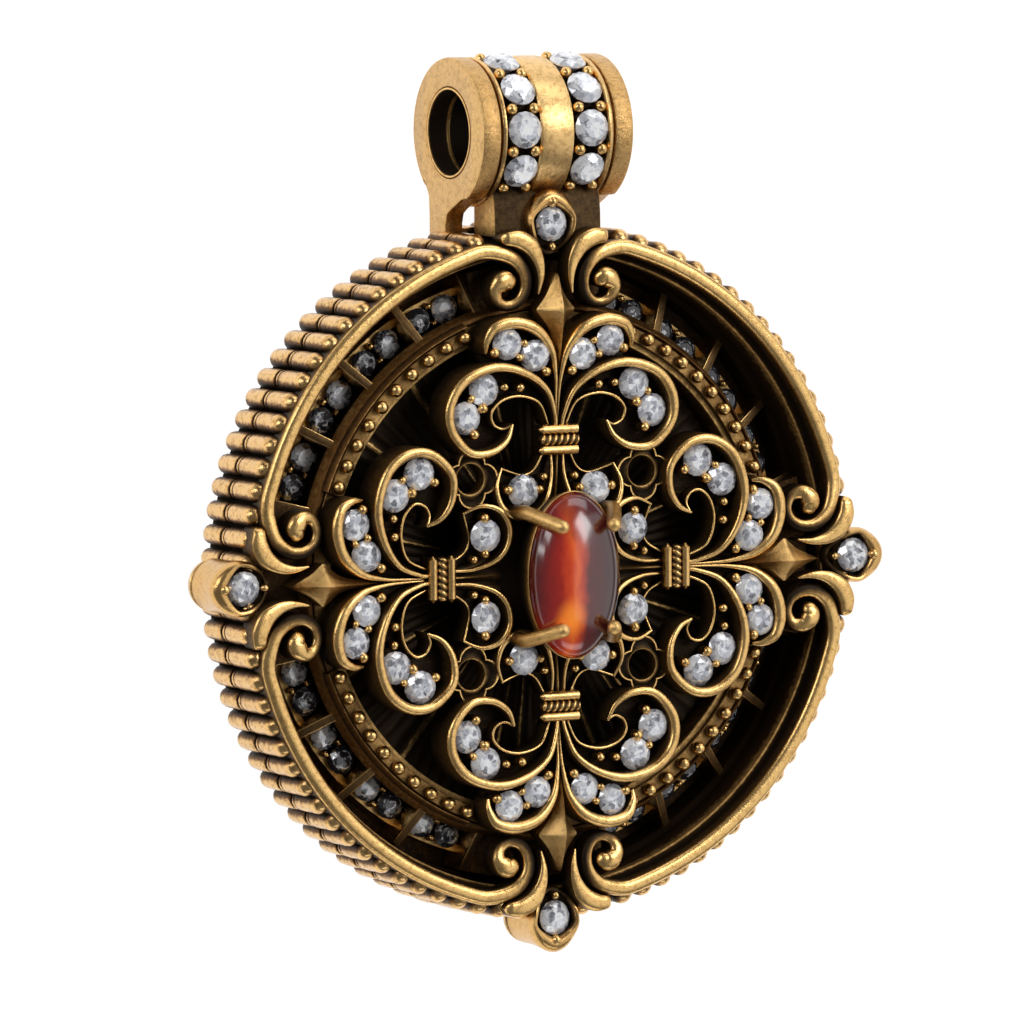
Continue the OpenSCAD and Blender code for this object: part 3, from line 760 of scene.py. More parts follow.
# Columns: height, roundness, inset and rubbed. The rim is only rubbed round the outer half of the egg
cup_rows = [(4.0, 1, 0, .6), (4.8, 1, 0, .8), (5.4, .8, 0, .9), (5.9, .4, 0, .9), (6.25, .12, 0, .95),
            (6.45, .03, .02, 1), (6.59, 0, .07, 1), (CUP_RIM_Z, 0, .14, 1), (CUP_RIM_Z, 0, .22, 1),
            (6.67, 0, 0.28, 1), (6.55, 0, 0.33, .3), (CUP_FLOOR_Z, 0, 0.37, .0)]
front_cup = grid([cup_ring(*row) for *row, _ in cup_rows],
                 [w * np.clip((egg_y - 15.7) / 1.0, 0.1, 1) for *_, w in cup_rows])
finish_piece("tip_cups", four_arms(front_cup, both_sides=False), "front_half", CUP_GOLD)
back_cup = pin([(0.5, 2.88, .5), (0.7, 2.9, .7), (1.0, 3.1, .8), (1.2, 3.4, .8), (CUP_R - 0.02, 3.7, .8),
                (1.2, 3.82, .4)], 48).moved(lambda x, y, z: (x, y + CUP_AT, z))
# The bail stands behind the northern cup, so that one has no back
back_cups = Casting()
for arm in (1, 2, 3):
    back_cups.add_casting(back_cup, -90 * arm)
finish_piece("tip_cup_backs", back_cups, "back_half", GOLD)

# %% [markdown]
# Fleurs.
# Every arm carries a fleur: two petals, two big scrolls and, past the binder, two curls. Their bright
# rims are bands with tall dark walls, and inside each rim lies a sunk floor that holds the stones. Rims
# and floors share the same tables, so a floor always ends under its own rim.

# %% Fleur outlines
# Columns: x, y, width and top, right of the north arm
PETAL_RIM = [
    (0.06, 7.3, 0.12, 6.90), (0.08, 8.5, 0.14, 7.00), (0.15, 9.6, 0.20, 7.15), (0.46, 10.9, 0.36, 7.35),
    (1.3, 11.88, 0.54, 7.50), (2.5, 12.28, 0.60, 7.50), (3.58, 12.05, 0.54, 7.45), (4.0, 11.4, 0.36, 7.32),
    (4.02, 10.85, 0.16, 7.15)]
SCROLL_RIM = [
    (0.18, 7.1, 0.18, 7.15), (0.25, 7.7, 0.20, 7.25), (0.78, 8.95, 0.28, 7.45), (2.1, 9.85, 0.38, 7.62),
    (3.7, 10.15, 0.46, 7.68), (5.28, 9.63, 0.50, 7.68), (6.14, 8.5, 0.50, 7.65), (6.1, 7.2, 0.48, 7.62),
    (5.1, 6.1, 0.44, 7.58), (3.9, 6.03, 0.38, 7.50), (3.0, 6.55, 0.28, 7.40), (2.62, 7.3, 0.15, 7.25)]
SCROLL_LIP = [
    (0.5, 7.25, 0.12, 6.95), (1.02, 8.3, 0.13, 7.05), (2.1, 8.68, 0.14, 7.10), (3.1, 8.5, 0.14, 7.10),
    (3.68, 7.95, 0.14, 7.10), (3.58, 7.38, 0.13, 7.08), (3.1, 7.12, 0.12, 7.10), (2.66, 7.28, 0.12, 7.20)]
CURL_RIM = [
    (0.34, 5.95, 0.12, 6.90), (0.36, 4.75, 0.16, 7.05), (0.75, 3.55, 0.24, 7.25), (1.45, 2.93, 0.30, 7.35),
    (2.4, 2.82, 0.32, 7.35), (3.2, 3.35, 0.28, 7.32), (3.45, 4.3, 0.20, 7.20), (3.1, 5.2, 0.12, 7.00)]
CURL_BACK = [
    (3.1, 5.2, 0.10, 6.95), (2.5, 4.98, 0.10, 6.85), (1.95, 4.82, 0.10, 6.80), (1.5, 4.88, 0.10, 6.80),
    (1.1, 5.2, 0.10, 6.80), (0.75, 5.85, 0.10, 6.85)]
PETAL_HEM = [(4.02, 10.85), (3.75, 10.2), (2.0, 9.9), (0.75, 9.0), (0.1, 7.4)]
FACE_LOW, FLOOR_TOP = 5.95, 6.42

rims = Casting()
for table in (PETAL_RIM, SCROLL_RIM, SCROLL_LIP, CURL_RIM, CURL_BACK):
    rims.add_casting(swept_band(table, 0.42, 0.85))
finish_piece("fleur_rims", four_arms(rims), "front_half", GOLD, "filigree")


def outline_of(*tables):
    """The place columns of smoothed tables, one after another, as one closed outline."""
    return [tuple(row[:2]) for table in tables for row in smooth_curve(table, 4)]


floors = Casting()
for outline in (outline_of(SCROLL_RIM) + outline_of(SCROLL_LIP)[::-1], outline_of(PETAL_RIM, PETAL_HEM),
                outline_of(CURL_RIM, CURL_BACK)):
    floors.add_casting(plate([outline], FACE_LOW, FLOOR_TOP, 0.03, 0.1, 0.15))
finish_piece("fleur_floors", four_arms(floors), "front_half", FLOOR_CASTING)

# %% [markdown]
# Diamond bosses.
# Between petals and tip stands a four-sided boss with a ridge down its middle and slightly hollow
# flanks, its metal pitted by wear. It is lofted from stations along the arm. Each station goes from one
# edge up the flank to the ridge and down again, and the curve of the flank makes it hollow.

# %% Diamond bosses
# Columns: y, half width, height of the edge and of the ridge
BOSS = [(14.57, 0.03, 6.9, 7.1), (14.1, 0.24, 6.86, 7.3), (13.5, 0.52, 6.82, 7.5), (13.05, 0.86, 6.8, 7.64),
        (12.8, 1.04, 6.8, 7.68), (12.5, 0.84, 6.8, 7.66), (12.0, 0.46, 6.84, 7.58), (11.5, 0.28, 6.88, 7.5),
        (10.7, 0.17, 6.9, 7.32), (9.9, 0.07, 6.8, 7.1)]
FLANK = np.array([-1, -0.85, -0.65, -0.45, -0.28, -0.14, -0.05, 0, 0.05, 0.14, 0.28, 0.45, 0.65, 0.85, 1])
flank_up = (1 - np.abs(FLANK)) ** 1.25


def boss_station(y, half, edge, ridge):
    top = np.column_stack((FLANK * half, y + 0 * FLANK, edge + (ridge - edge) * flank_up))
    return np.vstack((top, [(half, y, FACE_LOW), (-half, y, FACE_LOW)]))


boss_rows = [boss_station(*row) for row in smooth_curve(BOSS, 4)]
boss_rubbed = np.concatenate((0.95 + 0.3 * flank_up, (0.1, 0.1)))
boss = grid(boss_rows, np.tile(boss_rubbed, (len(boss_rows), 1)))
finish_piece("diamond_bosses", four_arms(boss, both_sides=False), "front_half", WORN_GOLD)

# %% [markdown]
# Binders and stems.
# A binder looks like two bars with a twisted wire between them, wound round the stems of the fleur. The
# twist is a round rod with slanting grooves: the radius rises and falls as it goes round and along,
# which is simpler than winding strands and looks the same from outside.

# %% Binders
BINDER_HALF, BINDER_Z = 1.1, 7.12


def cross_bar(y, z, radius, half, twist=0.0, steps=14):
    """A round bar across the arm. A twist cuts slanting grooves in it."""
    angles = np.radians(np.arange(0, 360, 20))
    rows, rubbed = [], []
    for x in np.linspace(-half, half, steps):
        end = max(0.0, abs(x) - (half - radius * 0.6)) / (radius * 0.6)
        swell = radius * math.sqrt(max(0.05, 1 - end ** 2))
        groove = np.abs(np.sin(twist * x + angles)) if twist else np.ones(len(angles))
        far = swell * (0.72 + 0.28 * groove)
        rows.append(np.column_stack((x + 0 * angles, y + far * np.cos(angles), z + far * np.sin(angles))))
        rubbed.append((0.25 + 0.75 * groove ** 2) * np.clip(0.6 + 0.4 * np.sin(angles), 0, 1))
    return grid(rows, rubbed)


binder = Casting()
for y in (7.0, 6.0):
    binder.add_casting(cross_bar(y, BINDER_Z, 0.24, BINDER_HALF + 0.03))
binder.add_casting(cross_bar(6.5, BINDER_Z - 0.04, 0.30, BINDER_HALF, twist=9.5, steps=60))
binder.add_casting(plate([[(-1.0, 5.85), (1.0, 5.85), (1.0, 7.15), (-1.0, 7.15)]], 6.0, 7.1, 0.1, 0.1, 0.2))
finish_piece("binders", four_arms(binder, both_sides=False), "front_half", GOLD)

# %% Fluted stems
STEM_FLUTES = 3
STEM_FROM, STEM_LENGTH = 5.95, 3.0


def stem_fan():
    """A fan of grooves from the binder to the centre, with one bright ridge on its axis."""
    rows, rubbed = [], []
    across = np.linspace(-1, 1, 41)
    for t in np.linspace(0, 1, 18):
        y = STEM_FROM - STEM_LENGTH * t
        half = 0.36 + 0.72 * t
        groove = np.abs(np.cos(across * STEM_FLUTES * math.pi / 2))
        ridge = np.exp(-(across * half / 0.07) ** 2) * math.sin(math.pi * min(1, max(0, t * 1.1))) ** 0.5
        z = 6.46 + 0.30 * (1 - t) + 0.13 * groove * (1 - 0.4 * t) + 0.16 * ridge
        top = np.column_stack((across * half, y + 0 * across, z))
        rows.append(np.vstack((top, [(half, y, FACE_LOW), (-half, y, FACE_LOW)])))
        rubbed.append(np.concatenate((0.18 + 0.3 * groove ** 3 + 0.6 * ridge, (0, 0))))
    return grid(rows, rubbed)


finish_piece("fluted_stems", four_arms(stem_fan(), both_sides=False), "front_half", DARK_CASTING)

# %% [markdown]
# Ring links.
# Four little quatrefoil rings join the fleurs on the diagonals. Their outline is the reach of four
# overlapping circles, which has a simple formula at each angle. A thin raised edge runs round the
# outside, and the flesh between it and the round hole is hollow and dark.

# %% Ring links
LINK_AT, LINK_TOP = 4.75, 7.0
LOBE_AT, LOBE_R, LINK_HOLE = 0.70, 0.76, 0.76


def link_reach(angle):
    """Distance from the link's centre to its outline at an angle."""
    turned = abs((angle + math.pi / 4) % (math.pi / 2) - math.pi / 4)
    return LOBE_AT * math.cos(turned) + math.sqrt(LOBE_R ** 2 - (LOBE_AT * math.sin(turned)) ** 2)


def quatrefoil():
    rows, rubbed = [], []
    for angle in full_turn(96):
        far = link_reach(angle)
        section = [(far, 6.0, 0), (far, LINK_TOP - 0.06, .4), (far - 0.03, LINK_TOP, 1),
                   (far - 0.1, LINK_TOP, 1), (far - 0.14, LINK_TOP - 0.08, .3),
                   ((far + LINK_HOLE) / 2, LINK_TOP - 0.22, .15), (LINK_HOLE + 0.1, LINK_TOP - 0.14, .4),
                   (LINK_HOLE, LINK_TOP - 0.2, .9), (LINK_HOLE, 6.5, .75), (LINK_HOLE, 6.0, .3)]
        rows.append([(r * math.cos(angle), r * math.sin(angle), z) for r, z, _ in section])
        rubbed.append([w for *_, w in section])
    return grid(rows, rubbed, closed=True)


link = quatrefoil()
links = Casting()
for aside in (-LINK_AT, LINK_AT):
    for up in (-LINK_AT, LINK_AT):
        links.add_casting(link.moved(lambda x, y, z: (x + aside, y + up, z)))
finish_piece("ring_links", links, "front_half", DARK_CASTING)

# %% [markdown]
# Centre setting.
# The oval stone sits in a thin cup that widens from the middle of the filigree, and four round wires
# rise beside it and bend over its edge. The cup is a stack of ovals. Each wire is a tube along a smooth
# path that ends in a round nose.

# %% Centre cup and prongs
OVAL_STEPS, DOME_STEPS = 72, 96
centre_cup_rows = [
    (1.85, 3.15, 6.0, .1), (2.05, 3.4, 6.6, .1), (2.32, 3.78, 7.4, .15), (2.48, 4.02, 8.0, .3),
    (2.53, 4.09, 8.32, .7), (2.53, 4.09, 8.5, 1), (2.5, 4.06, 8.52, 1), (2.46, 4.03, 8.48, .5),
    (2.45, 4.02, 8.32, 0)]
centre_cup = grid([ring_of(full_turn(OVAL_STEPS), *row) for *row, _ in centre_cup_rows],
                  [w for *_, w in centre_cup_rows])
centre_cup.add_casting(plate([arc_points((0, 0), 3.3, 0, 352.5, 48)], FACE_LOW, FLOOR_TOP, 0.05, 0.1, 0.2))
finish_piece("centre_cup", centre_cup, "front_half", DARK_CASTING)

PRONG = [(2.42, 3.0, 6.2), (2.46, 3.08, 7.4), (2.44, 3.1, 8.1), (2.2, 2.96, 8.6), (1.8, 2.72, 9.3),
         (1.42, 2.5, 9.95)]
PRONG_R = 0.36


def tube_along(path, radii, rubbed, sides=16):
    """A round tube along points in space, its ends closed."""
    ahead = np.gradient(path, axis=0)
    ahead /= np.linalg.norm(ahead, axis=1)[:, None]
    angles = full_turn(sides)
    rows = []
    side = np.cross(ahead[0], (0.3, 1, 0.1))
    for point, way, radius in zip(path, ahead, radii):
        side = side - way * side.dot(way)
        side /= np.linalg.norm(side)
        rows.append(point + radius * (np.outer(np.cos(angles), side)
                                      + np.outer(np.sin(angles), np.cross(way, side))))
    return grid(rows, rubbed)


prong_path = smooth_curve(PRONG, 5)
tip_way = prong_path[-1] - prong_path[-2]
tip_way /= np.linalg.norm(tip_way)
nose = PRONG_R * np.array((.3, .6, .85, .97))
prong_radii = [PRONG_R] * len(prong_path) + list(np.sqrt(PRONG_R ** 2 - nose ** 2))
prong_rubbed = list(np.interp(prong_path[:, 2], (7.2, 8.3, 9.3), (0.1, 0.75, 1.1))) + [1] * len(nose)
prong_path = np.vstack((prong_path, prong_path[-1] + np.outer(nose, tip_way)))
prong = tube_along(prong_path, prong_radii, prong_rubbed)
prongs = Casting()
for turn in (0, 180):
    prongs.add_casting(prong, turn)
    prongs.add_casting(prong, turn, flip=True)
finish_piece("centre_prongs", prongs, "front_half", WORN_GOLD)

# %% The oval stone
STONE_X, STONE_Y, STONE_BASE_Z = 2.45, 4.03, 8.35
DOME_Z, DOME_H = 8.5, 1.32
dome_rows = [(0.985, STONE_BASE_Z)]
dome_rows += [(math.cos(a) ** 0.9, DOME_Z + DOME_H * math.sin(a)) for a in np.radians(np.linspace(0, 88, 18))]
dome = grid([ring_of(full_turn(DOME_STEPS), STONE_X * k, STONE_Y * k, z) for k, z in dome_rows],
            np.ones(len(dome_rows)))
finish_piece("oval_cabochon", dome, "front_half", AMBER, "cabochon", slot="orange_cabochon")

# %% [markdown]
# Brilliants and their beads.
# The cut has a table, stars, kites and girdle facets above and mains below. Each stone is held by small
# beads raised from the metal beside it. A bead here is a pin with a round head, long enough to reach
# the floor.

# %% The brilliant cut
def brilliant_mesh(name, seed):
    """A round brilliant 1 mm across, girdle at height 0, with a painted reflection brightness of its own on
    each facet.
    """
    crown, girdle, depth = 0.17, 0.02, 0.38

    def ring(radius, z, count, first=0.0):
        return [(radius * math.cos(math.radians(first + 360 / count * i)),
                 radius * math.sin(math.radians(first + 360 / count * i)), z) for i in range(count)]

    points = ring(0.29, crown + girdle, 8, 22.5) + ring(0.41, crown * 0.58 + girdle, 8)
    points += ring(0.5, girdle, 16) + ring(0.5, -girdle, 16) + ring(0.2, -depth * 0.72, 8, 22.5)
    points += [(0, 0, -depth)]
    table, star, upper, lower, main, culet = 0, 8, 16, 32, 48, 56
    faces = [tuple(range(8))]
    for i in range(8):
        after, before = (i + 1) % 8, (i - 1) % 8
        faces.append((table + before, star + i, table + i))
        faces.append((table + i, star + i, upper + 2 * i + 1, star + after))
        faces.append((star + i, upper + 2 * i, upper + 2 * i + 1))
        faces.append((star + i, upper + (2 * i - 1) % 16, upper + 2 * i))
        faces.append((main + i, lower + 2 * i + 1, lower + 2 * i))
        faces.append((main + i, lower + (2 * i + 2) % 16, lower + 2 * i + 1))
        faces.append((main + i, main + after, lower + (2 * i + 2) % 16))
        faces.append((main + after, main + i, culet))
    for i in range(16):
        faces.append((upper + i, lower + i, lower + (i + 1) % 16, upper + (i + 1) % 16))
    mesh = make_mesh(name, Casting().add(points, faces, [1] * len(points)), smooth=False)
    facet = mesh.attributes.new("facet", "FLOAT", "FACE")
    facet.data.foreach_set("value", np.random.default_rng(seed).random(len(mesh.polygons)))
    cut = mesh.attributes.new("cut", "FLOAT_VECTOR", "POINT")
    cut.data.foreach_set("vector", [c / MM for v in mesh.vertices for c in v.co])
    return mesh


# Columns: name, x, y and diameter, right of the north arm
FLEUR_STONES = [("petal_inner", 1.32, 10.62, 1.55), ("petal_outer", 2.85, 11.23, 1.55),
                ("scroll_outer", 4.16, 9.07, 1.62), ("scroll_inner", 5.17, 7.73, 1.62)]
GIRDLE_Z = 7.1
# Columns: x, y, height and diameter
CURL_STONE = (1.99, 4.08, 7.08, 1.62)
TIP_STONE = (0, 16.92, 6.4, 1.7)
STONE_TILT = 0.05
turn_of_stone = np.random.default_rng(7)


def arm_place(x, y, z, size, arm):
    """A place on an arm, tilted a little and turned at random."""
    c, s = math.cos(math.radians(-90 * arm)), math.sin(math.radians(-90 * arm))
    lean = turn_of_stone.normal(0, STONE_TILT, 2)
    return (x * c - y * s, x * s + y * c, z), (lean[0], lean[1], turn_of_stone.random() * 6.28), size


fleur_places, arm_nodes = [], []
for arm, arm_name in enumerate(("north", "east", "south", "west")):
    fleur_places.append(arm_place(*TIP_STONE, arm))
    arm_nodes.append(arm_name + "_tip_stone")
    for side, hand in ((1, "right"), (-1, "left")):
        for stone, x, y, size in FLEUR_STONES:
            fleur_places.append(arm_place(side * x, y, GIRDLE_Z, size, arm))
            arm_nodes.append(f"{arm_name}_{stone}_stone_{hand}")
        fleur_places.append(arm_place(side * CURL_STONE[0], *CURL_STONE[1:], arm))
set_parts("face_brilliants", brilliant_mesh("face_cut", 3), fleur_places, "front_half", CLEAR_STONE,
          "curl_stones", *arm_nodes, slot="clear_stone")

# %% Beads beside the stones
BEAD = pin([(0.9, -3.0, 0), (0.95, -1.2, .3), (1.0, -0.3, .7), (0.97, 0.25, .95), (0.82, 0.58, 1),
            (0.58, 0.82, 1), (0.28, 0.96, 1)], 14)
# Columns: x, y, radius and height, right of the north arm
BEADS = [
    (1.93, 11.26, 0.19, 7.16), (2.2, 10.55, 0.20, 7.16), (3.57, 10.82, 0.26, 7.14), (0.72, 9.82, 0.26, 7.12),
    (3.05, 9.17, 0.21, 7.18), (2.17, 9.12, 0.23, 7.16), (4.9, 8.68, 0.20, 7.2), (4.25, 8.17, 0.26, 7.2),
    (4.72, 6.92, 0.25, 7.18), (2.85, 4.15, 0.25, 7.14), (1.12, 4.12, 0.22, 7.12), (0.86, 4.72, 0.19, 7.1)]
TIP_BEADS = [(0.0, 18.02, 0.28, 6.56), (0.0, 15.82, 0.21, 6.5)]
arm_beads = [(side * x, y, z, r) for x, y, r, z in BEADS for side in (1, -1)]
arm_beads += [(x, y, z, r) for x, y, r, z in TIP_BEADS]
bead_places = [arm_place(*bead, arm) for arm in range(4) for bead in arm_beads]
set_parts("setting_beads", BEAD, bead_places, "front_half", GOLD)

# %% [markdown]
# The tray inside the drum.
# Behind the filigree lies a tray with sixteen little windows. Each has two stones and a worn sill, and
# radial bars stand between them. A ring of grains runs round the tray's inner edge, and the floor has
# fine rays. All this is seen in half shade, so its relief has to be real: bars and grains catch the
# light only at their edges.

# %% Tray
TRAY_R, WINDOW_R, SILL_R, BAR_W = 15.15, 12.84, 14.1, 0.44
QUADRANTS = (0, 90, 180, 270)
WINDOW_ANGLES = [q + a for q in QUADRANTS for a in (22.5, 37.5, 52.5, 67.5)]
tray = lathe(soften([
    (12.74, 2.15, 0), (TRAY_R, 2.15, 0), (TRAY_R, 2.5, 0), (SILL_R + 0.2, 2.5, .2), (SILL_R + 0.2, 3.3, .5),
    (SILL_R - 0.2, 3.3, .5), (SILL_R - 0.2, 3.0, .2), (WINDOW_R, 3.0, 0), (WINDOW_R, 4.8, 0),
    (13.27, 4.95, .5), (13.0, 5.5, .3), (12.74, 5.5, .2)], 0.05))
tray_lip = [(12.7, 5.4, .1), (13.0, 5.5, .3), (12.86, 5.86, .5), (12.8, 5.9, .7), (12.76, 5.86, .5)]
tray_block = soften([(12.72, 2.25, 0), (15.11, 2.25, 0), (15.11, 5.0, .1), (12.72, 5.0, .1)], 0.05)
for start in QUADRANTS:
    tray.add_casting(lathe(tray_lip, 40, start + 20, start + 70))
    tray.add_casting(lathe(tray_block, 24, start - 15, start + 15))
finish_piece("window_tray", tray, "back_half", TRAY_CASTING, "window_ring", slot="patina")

SILL = [(SILL_R + 0.24, 2.5, .5), (SILL_R + 0.24, 3.3, 1), (SILL_R + 0.2, 3.38, 1.1),
        (SILL_R - 0.16, 3.38, 1.1), (SILL_R - 0.21, 3.32, 1), (SILL_R - 0.21, 2.9, .3)]
sills = Casting()
for angle in WINDOW_ANGLES:
    sills.add_casting(lathe(SILL, 12, angle - 6.6, angle + 6.6))
finish_piece("window_sills", sills, "back_half", WORN_GOLD, slot="patina")

bar_profile = [(WINDOW_R - 0.08, 2.6), (TRAY_R - 0.04, 2.6), (TRAY_R - 0.04, 4.22), (13.2, 5.16),
               (13.02, 5.12), (WINDOW_R - 0.08, 4.8)]
bar = plate([bar_profile], -BAR_W / 2, BAR_W / 2, 0.06, 0.3, 1.2).moved(lambda x, y, z: (x, -z, y))
bar_places = [ring_place(0, q + 15 * k, 0) for q in QUADRANTS for k in range(1, 6)]
set_parts("tray_bars", bar, bar_places, "back_half", GOLD, slot="patina")

# %% Tray stones with their beads
UPPER_SHADE, LOWER_SHADE, EAST_SHADE = 0.15, 0.62, 0.80
window_sides = [(a, side) for a in WINDOW_ANGLES for side in (-1, 1)]
tray_places = [ring_place(13.55, a + side * 3.35, 3.7, 1.42) for a, side in window_sides]
# Painted shade on the tray stones: a little on the upper stone of each western window, more on the lower one,
# and most on every stone of the eastern side
tray_shades = [(UPPER_SHADE if side < 0 else LOWER_SHADE) if 90 < a < 270 else EAST_SHADE
               for a, side in window_sides]
set_parts("tray_brilliants", brilliant_mesh("tray_cut", 5), tray_places, "back_half", SHADED_STONE,
          "tray_stones", slot="clear_stone", shades=tray_shades)
tray_beads = [ring_place(13.58 + aside, a, 3.75, 0.17) for a in WINDOW_ANGLES for aside in (-0.45, 0.45)]
set_parts("tray_beads", BEAD, tray_beads, "back_half", GOLD, slot="patina")

# %% Ring of grains
GRAIN_R, GRAIN_SIZE, GRAIN_PITCH, GRAIN_SEAT = 12.39, 0.345, 360 / 69.5, 5.55
GRAINS_A_QUADRANT = 10
seat = lathe(soften([(11.72, 1.05, 0), (12.69, 1.05, 0), (12.69, GRAIN_SEAT, .4),
                     (11.72, GRAIN_SEAT, .6)], 0.04))
raised_seat = soften([(12.02, 5.4, .1), (12.67, 5.4, .1), (12.67, 5.8, .4), (12.02, 5.8, .5)], 0.03)
for start in QUADRANTS:
    seat.add_casting(lathe(raised_seat, 60, start + 20, start + 70))
finish_piece("grain_seat", seat, "back_half", DARK_CASTING, "granule_ring")


def row_of(count, radius, z, size):
    """A row of places in each quadrant, at the pitch of the grains."""
    return [ring_place(radius, q + 45 + (k - (count - 1) / 2) * GRAIN_PITCH, z, size)
            for q in QUADRANTS for k in range(count)]


grain = pin([(0.3, -0.95, 0), (0.7, -0.7, .1), (0.97, -0.2, .5), (0.98, 0.2, .85), (0.83, 0.56, 1),
             (0.58, 0.82, 1), (0.28, 0.96, 1)], 16)
set_parts("ring_grains", grain, row_of(GRAINS_A_QUADRANT, GRAIN_R, 6.0, GRAIN_SIZE), "back_half", GOLD)
lump = pin([(1.0, -0.6, 0), (1.0, 0.0, .2), (0.8, 0.35, .35), (0.4, 0.5, .4)], 10)
set_parts("grain_lumps", lump, row_of(GRAINS_A_QUADRANT - 1, GRAIN_R + 0.05, 5.68, 0.2), "back_half",
          DARK_CASTING)

# %% Sunray floor
RAYS, FLOOR_Z = 96, 4.34


def sunray_floor():
    """A disc whose height rises and falls with the angle, in rays that fade out near the middle. One ray
    in five is worn bright."""
    angles = full_turn(RAYS * 4)
    wave = np.tile((0, 0.55, 1, 0.55), RAYS)
    worn_rays = np.repeat(np.random.default_rng(11).random(RAYS) > 0.8, 4) * 0.7
    rows, rubbed = [], []
    for radius, deep in ((0.6, 0), (3, 0.02), (5, 0.05), (7.5, 0.08), (10, 0.1), (11.55, 0.1)):
        rows.append(ring_of(angles, radius, radius, FLOOR_Z + deep * (wave - 0.5)))
        rubbed.append(0.1 + 0.3 * wave ** 2 + worn_rays * wave * min(1, radius / 9))
    rows.append(ring_of(angles, 11.65, 11.65, 3.95))
    rubbed.append(0 * angles)
    return grid(rows, rubbed)


finish_piece("sunray_floor", sunray_floor(), "back_half", FLOOR_DARK, "sun_plate")

# %% [markdown]
# The bail.
# Two flat ears stand up from the back half on short stems, and a knuckle from the front half turns
# between them on a tube. The chain runs through the tube. Everything round is turned about the bail's
# own axis, which lies across the medallion, so turned shapes are made about Z and then laid over.

# %% Knuckle and neck
BAIL_Y, BAIL_Z = 21.35, 3.65
EAR_R, EAR_IN, EAR_OUT, EAR_BEVEL = 3.65, 3.15, 4.15, 0.13
CHAIN_R, TUBE_R = 2.0, 2.2
KNUCKLE_R, CHANNEL_R = 3.64, 2.78


def on_bail(casting):
    """Lays a shape turned about Z onto the bail's axis."""
    return casting.moved(lambda x, y, z: (z, BAIL_Y + y, BAIL_Z - x))


# From the crown of the band, down into the channel of the stones and up over the rim beside the ear
half_knuckle = [
    (3.65, 0, 1), (3.64, 0.6, 1), (3.60, 0.84, 1), (3.50, 0.93, .7), (3.35, 0.94, .3), (CHANNEL_R, 0.96, 0),
    (CHANNEL_R, 2.72, 0), (3.35, 2.75, .3), (3.56, 2.78, .9), (KNUCKLE_R, 2.85, 1), (KNUCKLE_R, 2.97, 1),
    (3.60, 3.03, .95), (3.5, 3.05, .5), (TUBE_R + 0.06, 3.05, 0)]
knuckle = on_bail(lathe([(r, -z, w) for r, z, w in half_knuckle[:0:-1]] + half_knuckle, 144))
# The lower end of the band, by the neck, keeps its patina
lower_end = [(BAIL_Y - y) * 0.6 + (z - BAIL_Z) * 0.5 for _, y, z in knuckle.points]
knuckle.rubbed = [r * (1 - 0.75 * min(1, max(0, (low - 2.35) / 0.6)))
                  for r, low in zip(knuckle.rubbed, lower_end)]
finish_piece("bail_knuckle", knuckle, "front_half", BAND_GOLD, "knuckle")

NECK = [(16.35, 4.0), (18.95, 4.0), (19.1, 5.35), (18.85, 5.62), (18.5, 5.85), (18.1, 6.0), (17.4, 6.08),
        (16.35, 6.1)]
neck = plate([NECK], -2.95, 2.95, 0.06, 0.35, 0.8).moved(lambda x, y, z: (z, x, y))
finish_piece("bail_neck", neck, "front_half", NECK_CASTING)

# %% Ears on their stems, and the tube
# Points of the stem in the plane across the bail: distance from the centre, then height
STEM_FRONT = [(18.12, 4.9), (17.82, 4.3), (17.58, 3.8), (17.36, 3.45), (16.9, 3.3), (15.95, 3.25)]
STEM_BACK = [(15.95, 1.6), (17.3, 1.6), (18.2, 1.55), (18.75, 1.2)]
ear_outline = arc_points((BAIL_Y, BAIL_Z), EAR_R, 222, 510, 84) + STEM_FRONT + STEM_BACK
ear_hole = arc_points((BAIL_Y, BAIL_Z), TUBE_R + 0.02, 0, 352.5, 48)
ear = plate([ear_outline, ear_hole], EAR_IN, EAR_OUT, EAR_BEVEL, 0.8, 1.0)
ears = Casting()
for side in (-1, 1):
    ears.add_casting(ear.moved(lambda x, y, z: (side * z, x, y)))
finish_piece("bail_ears", ears, "back_half", EAR_GOLD)
tube_half = [(CHAIN_R + 0.05, 0.0, 0), (CHAIN_R + 0.05, 2.9, 0), (CHAIN_R, 3.0, 1), (CHAIN_R, 3.12, 1),
             (CHAIN_R + 0.06, 3.2, 0), (CHAIN_R + 0.06, 4.05, .2), (CHAIN_R + 0.1, 4.13, .9),
             (TUBE_R - 0.02, 4.13, .9), (TUBE_R, 4.08, .6)]
tube = on_bail(lathe(tube_half + [(r, -x, w) for r, x, w in reversed(tube_half[1:])], 96))
finish_piece("bail_tube", tube, "back_half", DARK_CASTING, "hinge_tube")

# %% Bail stones and beads
BAIL_STONE_X, BAIL_STEP, BAIL_FIRST = 1.84, 33.6, -30.2


def bail_place(x, reach, angle, size):
    """A place on the knuckle, at an angle from straight out of the face towards the top."""
    a = math.radians(angle)
    turn = Euler((-a, 0, 0)).to_matrix() @ Euler((0, 0, turn_of_stone.random() * 6.28)).to_matrix()
    return (x, BAIL_Y + reach * math.sin(a), BAIL_Z + reach * math.cos(a)), tuple(turn.to_euler()), size


bail_stone_places = [bail_place(side * BAIL_STONE_X, KNUCKLE_R - 0.08, BAIL_FIRST + k * BAIL_STEP, 1.8)
                     for k in range(4) for side in (-1, 1)]
set_parts("bail_brilliants", brilliant_mesh("bail_cut", 9), bail_stone_places, "front_half", CLEAR_STONE,
          "bail_stones", slot="clear_stone")
bail_bead_places = [bail_place(side * (BAIL_STONE_X + aside), 3.53, BAIL_FIRST + (k - 0.5) * BAIL_STEP, 0.29)
                    for k in range(5) for side in (-1, 1) for aside in (-0.6, 0.6)]
set_parts("bail_beads", BEAD, bail_bead_places, "front_half", GOLD)

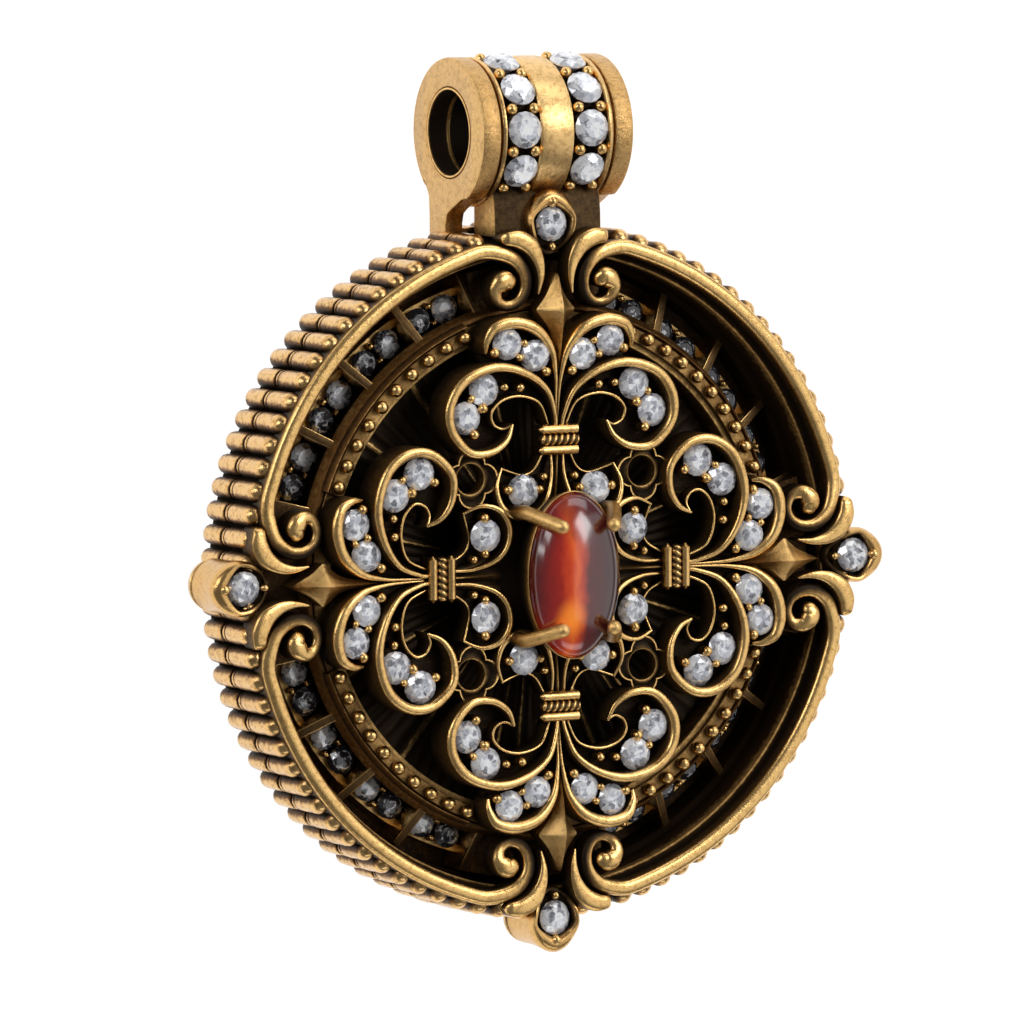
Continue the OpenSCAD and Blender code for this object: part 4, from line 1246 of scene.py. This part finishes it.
# %% [markdown]
# Floor and light.
# The pendant lies on its back on a plain white floor. Polished metal shows what stands round it, so
# the light is six soft panels with darker room between them. The camera stands on the left, so the flat
# tops mirror what is on the right, and the broadest panel is there. The smaller ones bring out the
# ribs, the bail and the lower edges.

# %% Floor, world and lamps
FLOOR_HALF = 1.2
floor_mesh = bpy.data.meshes.new("studio_floor")
floor_mesh.from_pydata([(x * FLOOR_HALF, y * FLOOR_HALF, 0) for x, y in ((-1, -1), (1, -1), (1, 1), (-1, 1))],
                       [], [(0, 1, 2, 3)])
floor = bpy.data.objects.new("studio_floor", floor_mesh)
bpy.context.scene.collection.objects.link(floor)
floor_mesh.materials.append(Finish("studio_white").give({
    "Base Color": (0.25, 0.25, 0.25, 1), "Roughness": 0.9, "Emission Color": (1, 1, 1, 1),
    "Emission Strength": 0.95}))

world = bpy.data.worlds.new("studio")
world.use_nodes = True
sky = world.node_tree.nodes["Background"]
sky.inputs[0].default_value = (0.95, 0.97, 1.0, 1)
sky.inputs[1].default_value = 0.16
bpy.context.scene.world = world

# Columns: name, place in metres, width and height in metres, watts
PANELS = [("overhead_panel", (0.45, 0.0, 0.42), (0.64, 0.80), 1.05),
          ("key_panel", (0.27, 0.22, 0.48), (0.22, 0.20), 0.75),
          ("upper_left_panel", (-0.42, 0.30, 0.30), (0.16, 0.30), 0.55),
          ("top_panel", (0.24, 0.52, 0.24), (0.46, 0.30), 0.75),
          ("left_strip", (-0.50, 0.14, 0.15), (0.05, 0.34), 0.26),
          ("front_panel", (0.10, -0.52, 0.26), (0.44, 0.14), 0.30)]
AIM = Vector((0, 0, 0.006))
for name, place, size, power in PANELS:
    lamp_data = bpy.data.lights.new(name, "AREA")
    lamp_data.shape = "RECTANGLE"
    lamp_data.size, lamp_data.size_y = size
    lamp_data.energy = power
    lamp = bpy.data.objects.new(name, lamp_data)
    bpy.context.scene.collection.objects.link(lamp)
    lamp.location = place
    lamp.rotation_euler = (Vector(place) - AIM).to_track_quat("Z", "Y").to_euler()
bpy.context.scene.view_settings.view_transform = "Standard"
print("lamps:", len(PANELS))

# %% Final update of the view layer
bpy.context.view_layer.update()
